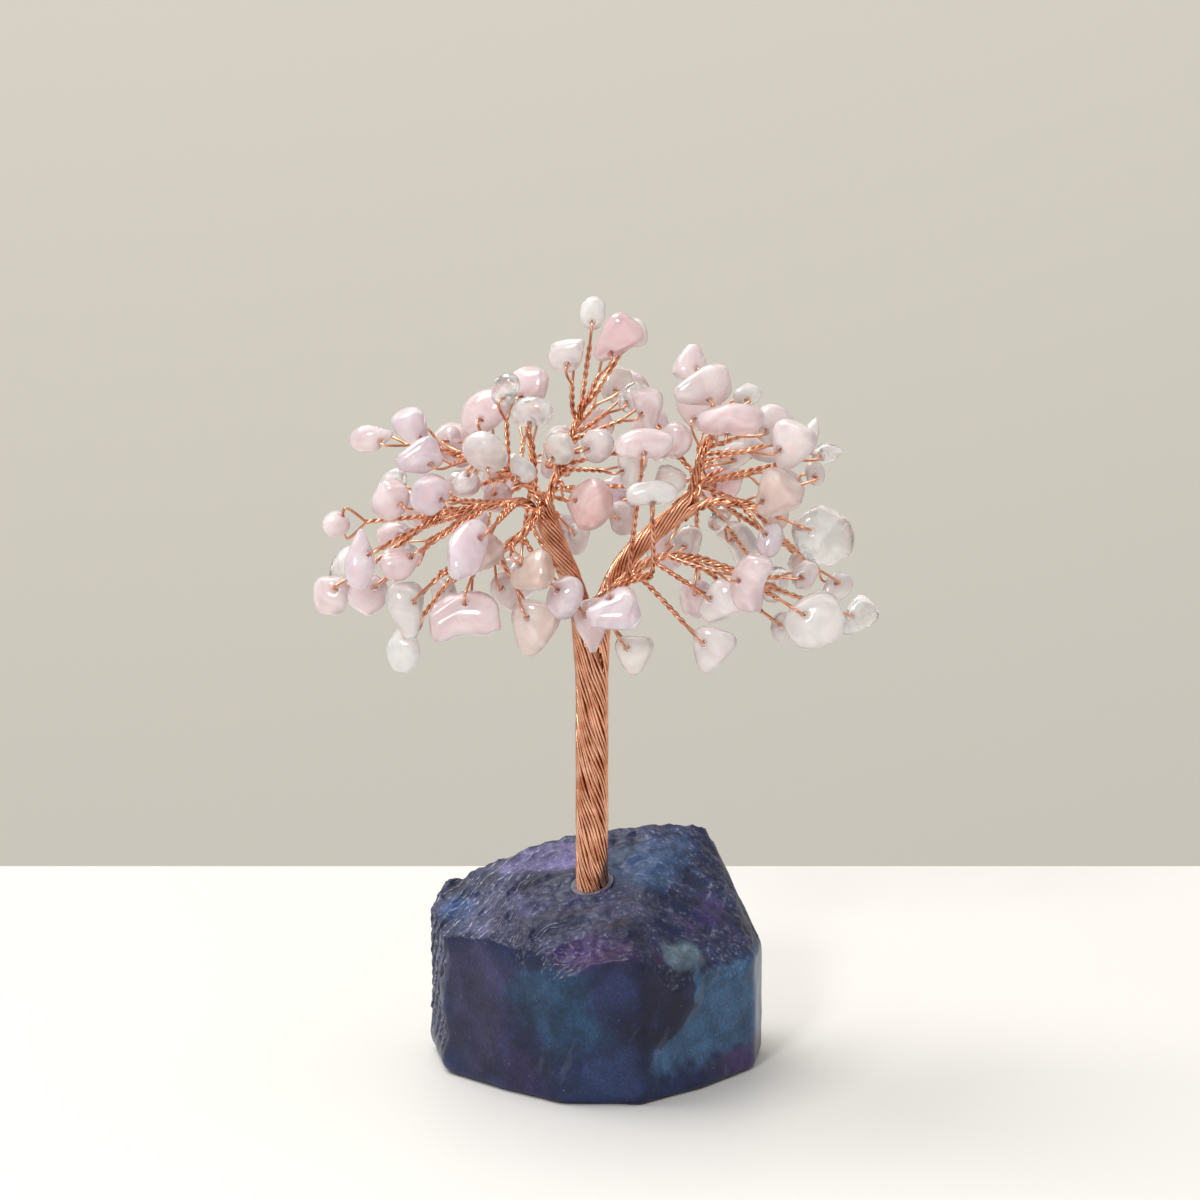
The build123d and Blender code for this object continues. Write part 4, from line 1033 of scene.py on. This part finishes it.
colour_layer.data.foreach_set("color", colours.ravel())
for name, values in (("rough", rough_zone), ("glint_lines", glint_line_zone), ("layers", layers)):
    layer = stone_mesh.attributes.new(name, "FLOAT", "POINT")
    layer.data.foreach_set("value", values)
print("stone faces", len(stone_mesh.polygons))

# %% [markdown]
# The material starts from the painted zones. Clouds a few millimetres wide darken and lighten them, slanting
# streaks mark healed cracks behind the smooth front, and a fine grain breaks the colour up. Thin pale lines
# follow the layers at the left, where the surface is broken along them: they are a painted highlight, the
# glint of the terrace edges. Elsewhere the broken surface is crushed, and its pale grains are partly its own
# colour and partly a painted sparkle. Dust-fine white specks finish it. A cleaved face is glossy and a broken
# one is duller, so the roughness follows the broken zone. Fluorite has a low IOR of 1.434.

# %% Raw fluorite
fluorite, fluorite_shader = new_material("raw cleaved fluorite")
place = add_node(fluorite, "ShaderNodeTexCoord").outputs["Object"]
zones = add_node(fluorite, "ShaderNodeAttribute", attribute_name="stone_colour").outputs["Color"]
broken = add_node(fluorite, "ShaderNodeAttribute", attribute_name="rough").outputs["Fac"]
terrace_glint = add_node(fluorite, "ShaderNodeAttribute", attribute_name="glint_lines").outputs["Fac"]
layer_line = add_node(fluorite, "ShaderNodeAttribute", attribute_name="layers").outputs["Fac"]

CLOUD = 6.0
cloud = grain_noise(fluorite, place, CLOUD, Detail=7.0, Distortion=0.6)
cloud_light = ramp(fluorite, cloud.outputs["Fac"], [(0.3, 0.55), (0.5, 1.0), (0.72, 1.7)])
clouded = blend_colours(fluorite, 1.0, zones, cloud_light, "MULTIPLY")

STREAK = 3.2
slant = add_node(fluorite, "ShaderNodeMapping", {"Vector": place}, vector_type="TEXTURE")
slant.inputs["Rotation"].default_value = (0, math.radians(28), 0)
slant.inputs["Scale"].default_value = (1.0, 1.0, 5.0)
streak = grain_noise(fluorite, slant.outputs["Vector"], STREAK, Detail=4.0)
streak_amount = ramp(fluorite, streak.outputs["Fac"], [(0.62, 0.0), (0.84, 0.3)])
streaked = blend_colours(fluorite, streak_amount, clouded, linear("7F8FB0"))

GRAIN = 0.5
grain = grain_noise(fluorite, place, GRAIN, Detail=4.0, Roughness=0.7)
grain_light = ramp(fluorite, grain.outputs["Fac"], [(0.3, 0.7), (0.5, 1.0), (0.7, 1.55)])
grained = blend_colours(fluorite, 1.0, streaked, grain_light, "MULTIPLY")

# Painted highlight: pale lines along the layers, in patches, stand for the glint of the terrace edges
FINE_LAYER = 0.35
FROST = 0.8
lines = add_node(
    fluorite,
    "ShaderNodeTexNoise",
    {"W": layer_line},
    noise_dimensions="1D",
    Scale=1 / FINE_LAYER,
    Detail=3.0,
)
frost = grain_noise(fluorite, place, FROST, Detail=6.0, Roughness=0.7)
glint_line_amount = ramp(fluorite, lines.outputs["Fac"], [(0.52, 0.0), (0.7, 0.8)])
glint_patches = ramp(fluorite, frost.outputs["Fac"], [(0.47, 0.1), (0.62, 1.0)])
glint_lines = blend_colours(fluorite, 1.0, glint_line_amount, glint_patches, "MULTIPLY")
glint_lines_here = blend_colours(fluorite, 1.0, glint_lines, terrace_glint, "MULTIPLY")
# Painted highlight: the pale glint colour laid on the stone along those lines
glint_painted = blend_colours(fluorite, glint_lines_here, grained, linear("BDBFD4"))
# Partly real, partly painted light: pale crushed grains of the broken surface, with a painted sparkle
crush_and_sparkle_amount = ramp(fluorite, frost.outputs["Fac"], [(0.53, 0.0), (0.7, 0.6)])
crush_and_sparkle_patch = ramp(fluorite, cloud.outputs["Fac"], [(0.4, 0.15), (0.62, 1.0)])
crush_and_sparkle_clouds = blend_colours(fluorite, 1.0, crush_and_sparkle_amount, crush_and_sparkle_patch, "MULTIPLY")
crush_and_sparkle_here = blend_colours(fluorite, 1.0, crush_and_sparkle_clouds, broken, "MULTIPLY")
crush_and_sparkle_painted = blend_colours(fluorite, crush_and_sparkle_here, glint_painted, linear("9EA2B8"))

SPECK = 1.1
speck = add_node(fluorite, "ShaderNodeTexVoronoi", {"Vector": place}, Scale=1 / (SPECK * MM))
speck_dot = ramp(fluorite, speck.outputs["Distance"], [(0.03, 0.8), (0.11, 0.0)])
speck_pick = ramp(fluorite, frost.outputs["Fac"], [(0.5, 0.0), (0.62, 1.0)])
speck_amount = blend_colours(fluorite, 1.0, speck_dot, speck_pick, "MULTIPLY")
specked = blend_colours(fluorite, speck_amount, crush_and_sparkle_painted, linear("AEB2C6"))

frost_height = {"Height": frost.outputs["Fac"]}
fine_bump = add_node(fluorite, "ShaderNodeBump", frost_height, Strength=0.25, Distance=0.25 * MM)
line_height = blend_colours(fluorite, 1.0, lines.outputs["Fac"], terrace_glint, "MULTIPLY")
line_bump = add_node(
    fluorite,
    "ShaderNodeBump",
    {"Height": line_height, "Normal": fine_bump.outputs["Normal"]},
    Strength=0.6,
    Distance=0.4 * MM,
)
gloss = add_node(fluorite, "ShaderNodeMapRange", {"Value": broken})
gloss.inputs["To Min"].default_value = 0.3
gloss.inputs["To Max"].default_value = 0.42
fluorite.node_tree.links.new(specked, fluorite_shader.inputs["Base Color"])
fluorite.node_tree.links.new(gloss.outputs["Result"], fluorite_shader.inputs["Roughness"])
fluorite.node_tree.links.new(line_bump.outputs["Normal"], fluorite_shader.inputs["Normal"])
fluorite_shader.inputs["IOR"].default_value = 1.434
fluorite_shader.inputs["Specular IOR Level"].default_value = 0.35
stone_mesh.shade_smooth()
stone_mesh.materials.clear()
stone_mesh.materials.append(fluorite)
seat_piece(stone, "tree", ["base_stone"])
print("material", fluorite.name)

# %% [markdown]
# The glue that sets the trunk is clear epoxy. It was poured into the drilled socket and crept up its wall, so
# its surface lies nearly level with the sloping stone round it. Only a thin collar shows round the wires, and it
# is as grey as the crushed stone round it. It is a copy of the measured glue with its top face tilted to the stone.

# %% Clear set glue
glue, glue_shader = new_material("clear set epoxy")
place = add_node(glue, "ShaderNodeTexCoord").outputs["Object"]
GLUE_HAZE = 1.5
haze = grain_noise(glue, place, GLUE_HAZE, Detail=3.0)
haze_colour = ramp(glue, haze.outputs["Fac"], [(0.3, linear("42455A")), (0.7, linear("5F6174"))])
glue.node_tree.links.new(haze_colour, glue_shader.inputs["Base Color"])
glue_shader.inputs["Roughness"].default_value = 0.4
glue_shader.inputs["IOR"].default_value = 1.55
GLUE_SINK = 0.3
GLUE_CREEP = 1.18
GLUE_INNER = 0.1
work = merged_copy("setting_glue")
glue_top = max(vertex.co.z for vertex in work.verts)
for vertex in work.verts:
    if vertex.co.z > glue_top - TOP_FACE * MM:
        if vertex.co.xy.length > (TRUNK / 2 + GLUE_INNER) * MM:
            vertex.co.xy = vertex.co.xy * GLUE_CREEP
        vertex.co.z = (SOCKET_HEIGHT - GLUE_SINK) * MM + vertex.co.xy.dot(Vector(SOCKET_SLOPE))
socket_glue = piece_from(work, "socket_glue", glue)
seat_piece(socket_glue, "tree", ["setting_glue"])
print("glue faces", len(socket_glue.data.polygons))

# %% [markdown]
# The tree stands on a white table top in front of a plain beige wall. The table's far edge is about 116 mm
# behind the trunk. Both are only a stage and no part of the object.

# %% Stage
def plain_material(name, hex_colour, roughness):
    material, shader = new_material(name)
    shader.inputs["Base Color"].default_value = linear(hex_colour)
    shader.inputs["Roughness"].default_value = roughness
    return material


def stage_plane(name, corners, material):
    """A flat stage face through four corners in millimetres."""
    work = bmesh.new()
    work.faces.new([work.verts.new(Vector(corner) * MM) for corner in corners])
    plane = piece_from(work, name, material)


TABLE_EDGE = 116
white_top = plain_material("white table top", "CFCECC", 0.5)
beige_wall = plain_material("beige wall", "D4CFC5", 0.9)
floor_corners = [(-900, -900, 0), (900, -900, 0), (900, TABLE_EDGE, 0), (-900, TABLE_EDGE, 0)]
stage_plane("floor", floor_corners, white_top)
wall_corners = [(-2000, 900, -900), (2000, 900, -900), (2000, 900, 1500), (-2000, 900, 1500)]
stage_plane("wall", wall_corners, beige_wall)
print("table edge", TABLE_EDGE, "mm behind the trunk")

# %% [markdown]
# The light is soft daylight from the left and a little behind, as from a window, with the room's own light
# all round. The window is large enough for a soft shadow to the right and small enough for crisp highlights
# on the tumbled stones.

# %% Light
def area_light(name, place, aim, size, power, hex_colour):
    lamp = bpy.data.lights.new(name, "AREA")
    lamp.size = size * MM
    lamp.energy = power
    lamp.color = linear(hex_colour)[:3]
    holder = bpy.data.objects.new(name, lamp)
    holder.location = Vector(place) * MM
    holder.rotation_euler = (Vector(aim) - Vector(place)).to_track_quat("-Z", "Y").to_euler()
    bpy.context.scene.collection.objects.link(holder)


area_light("window", (-800, 360, 1640), (0, 0, 60), 1100, 32.0, "FFFCF9")
area_light("front", (-300, -700, 520), (0, 0, 90), 140, 3.4, "FFFDFC")
area_light("wall light", (300, 300, 900), (300, 900, 200), 900, 1.6, "FFFCF7")
world = bpy.data.worlds.new("room light")
world.use_nodes = True
world.node_tree.nodes["Background"].inputs["Color"].default_value = linear("F7F7F5")
world.node_tree.nodes["Background"].inputs["Strength"].default_value = 0.68
bpy.context.scene.world = world
bpy.context.scene.view_settings.view_transform = "Standard"
print("lights", len(bpy.data.lights))
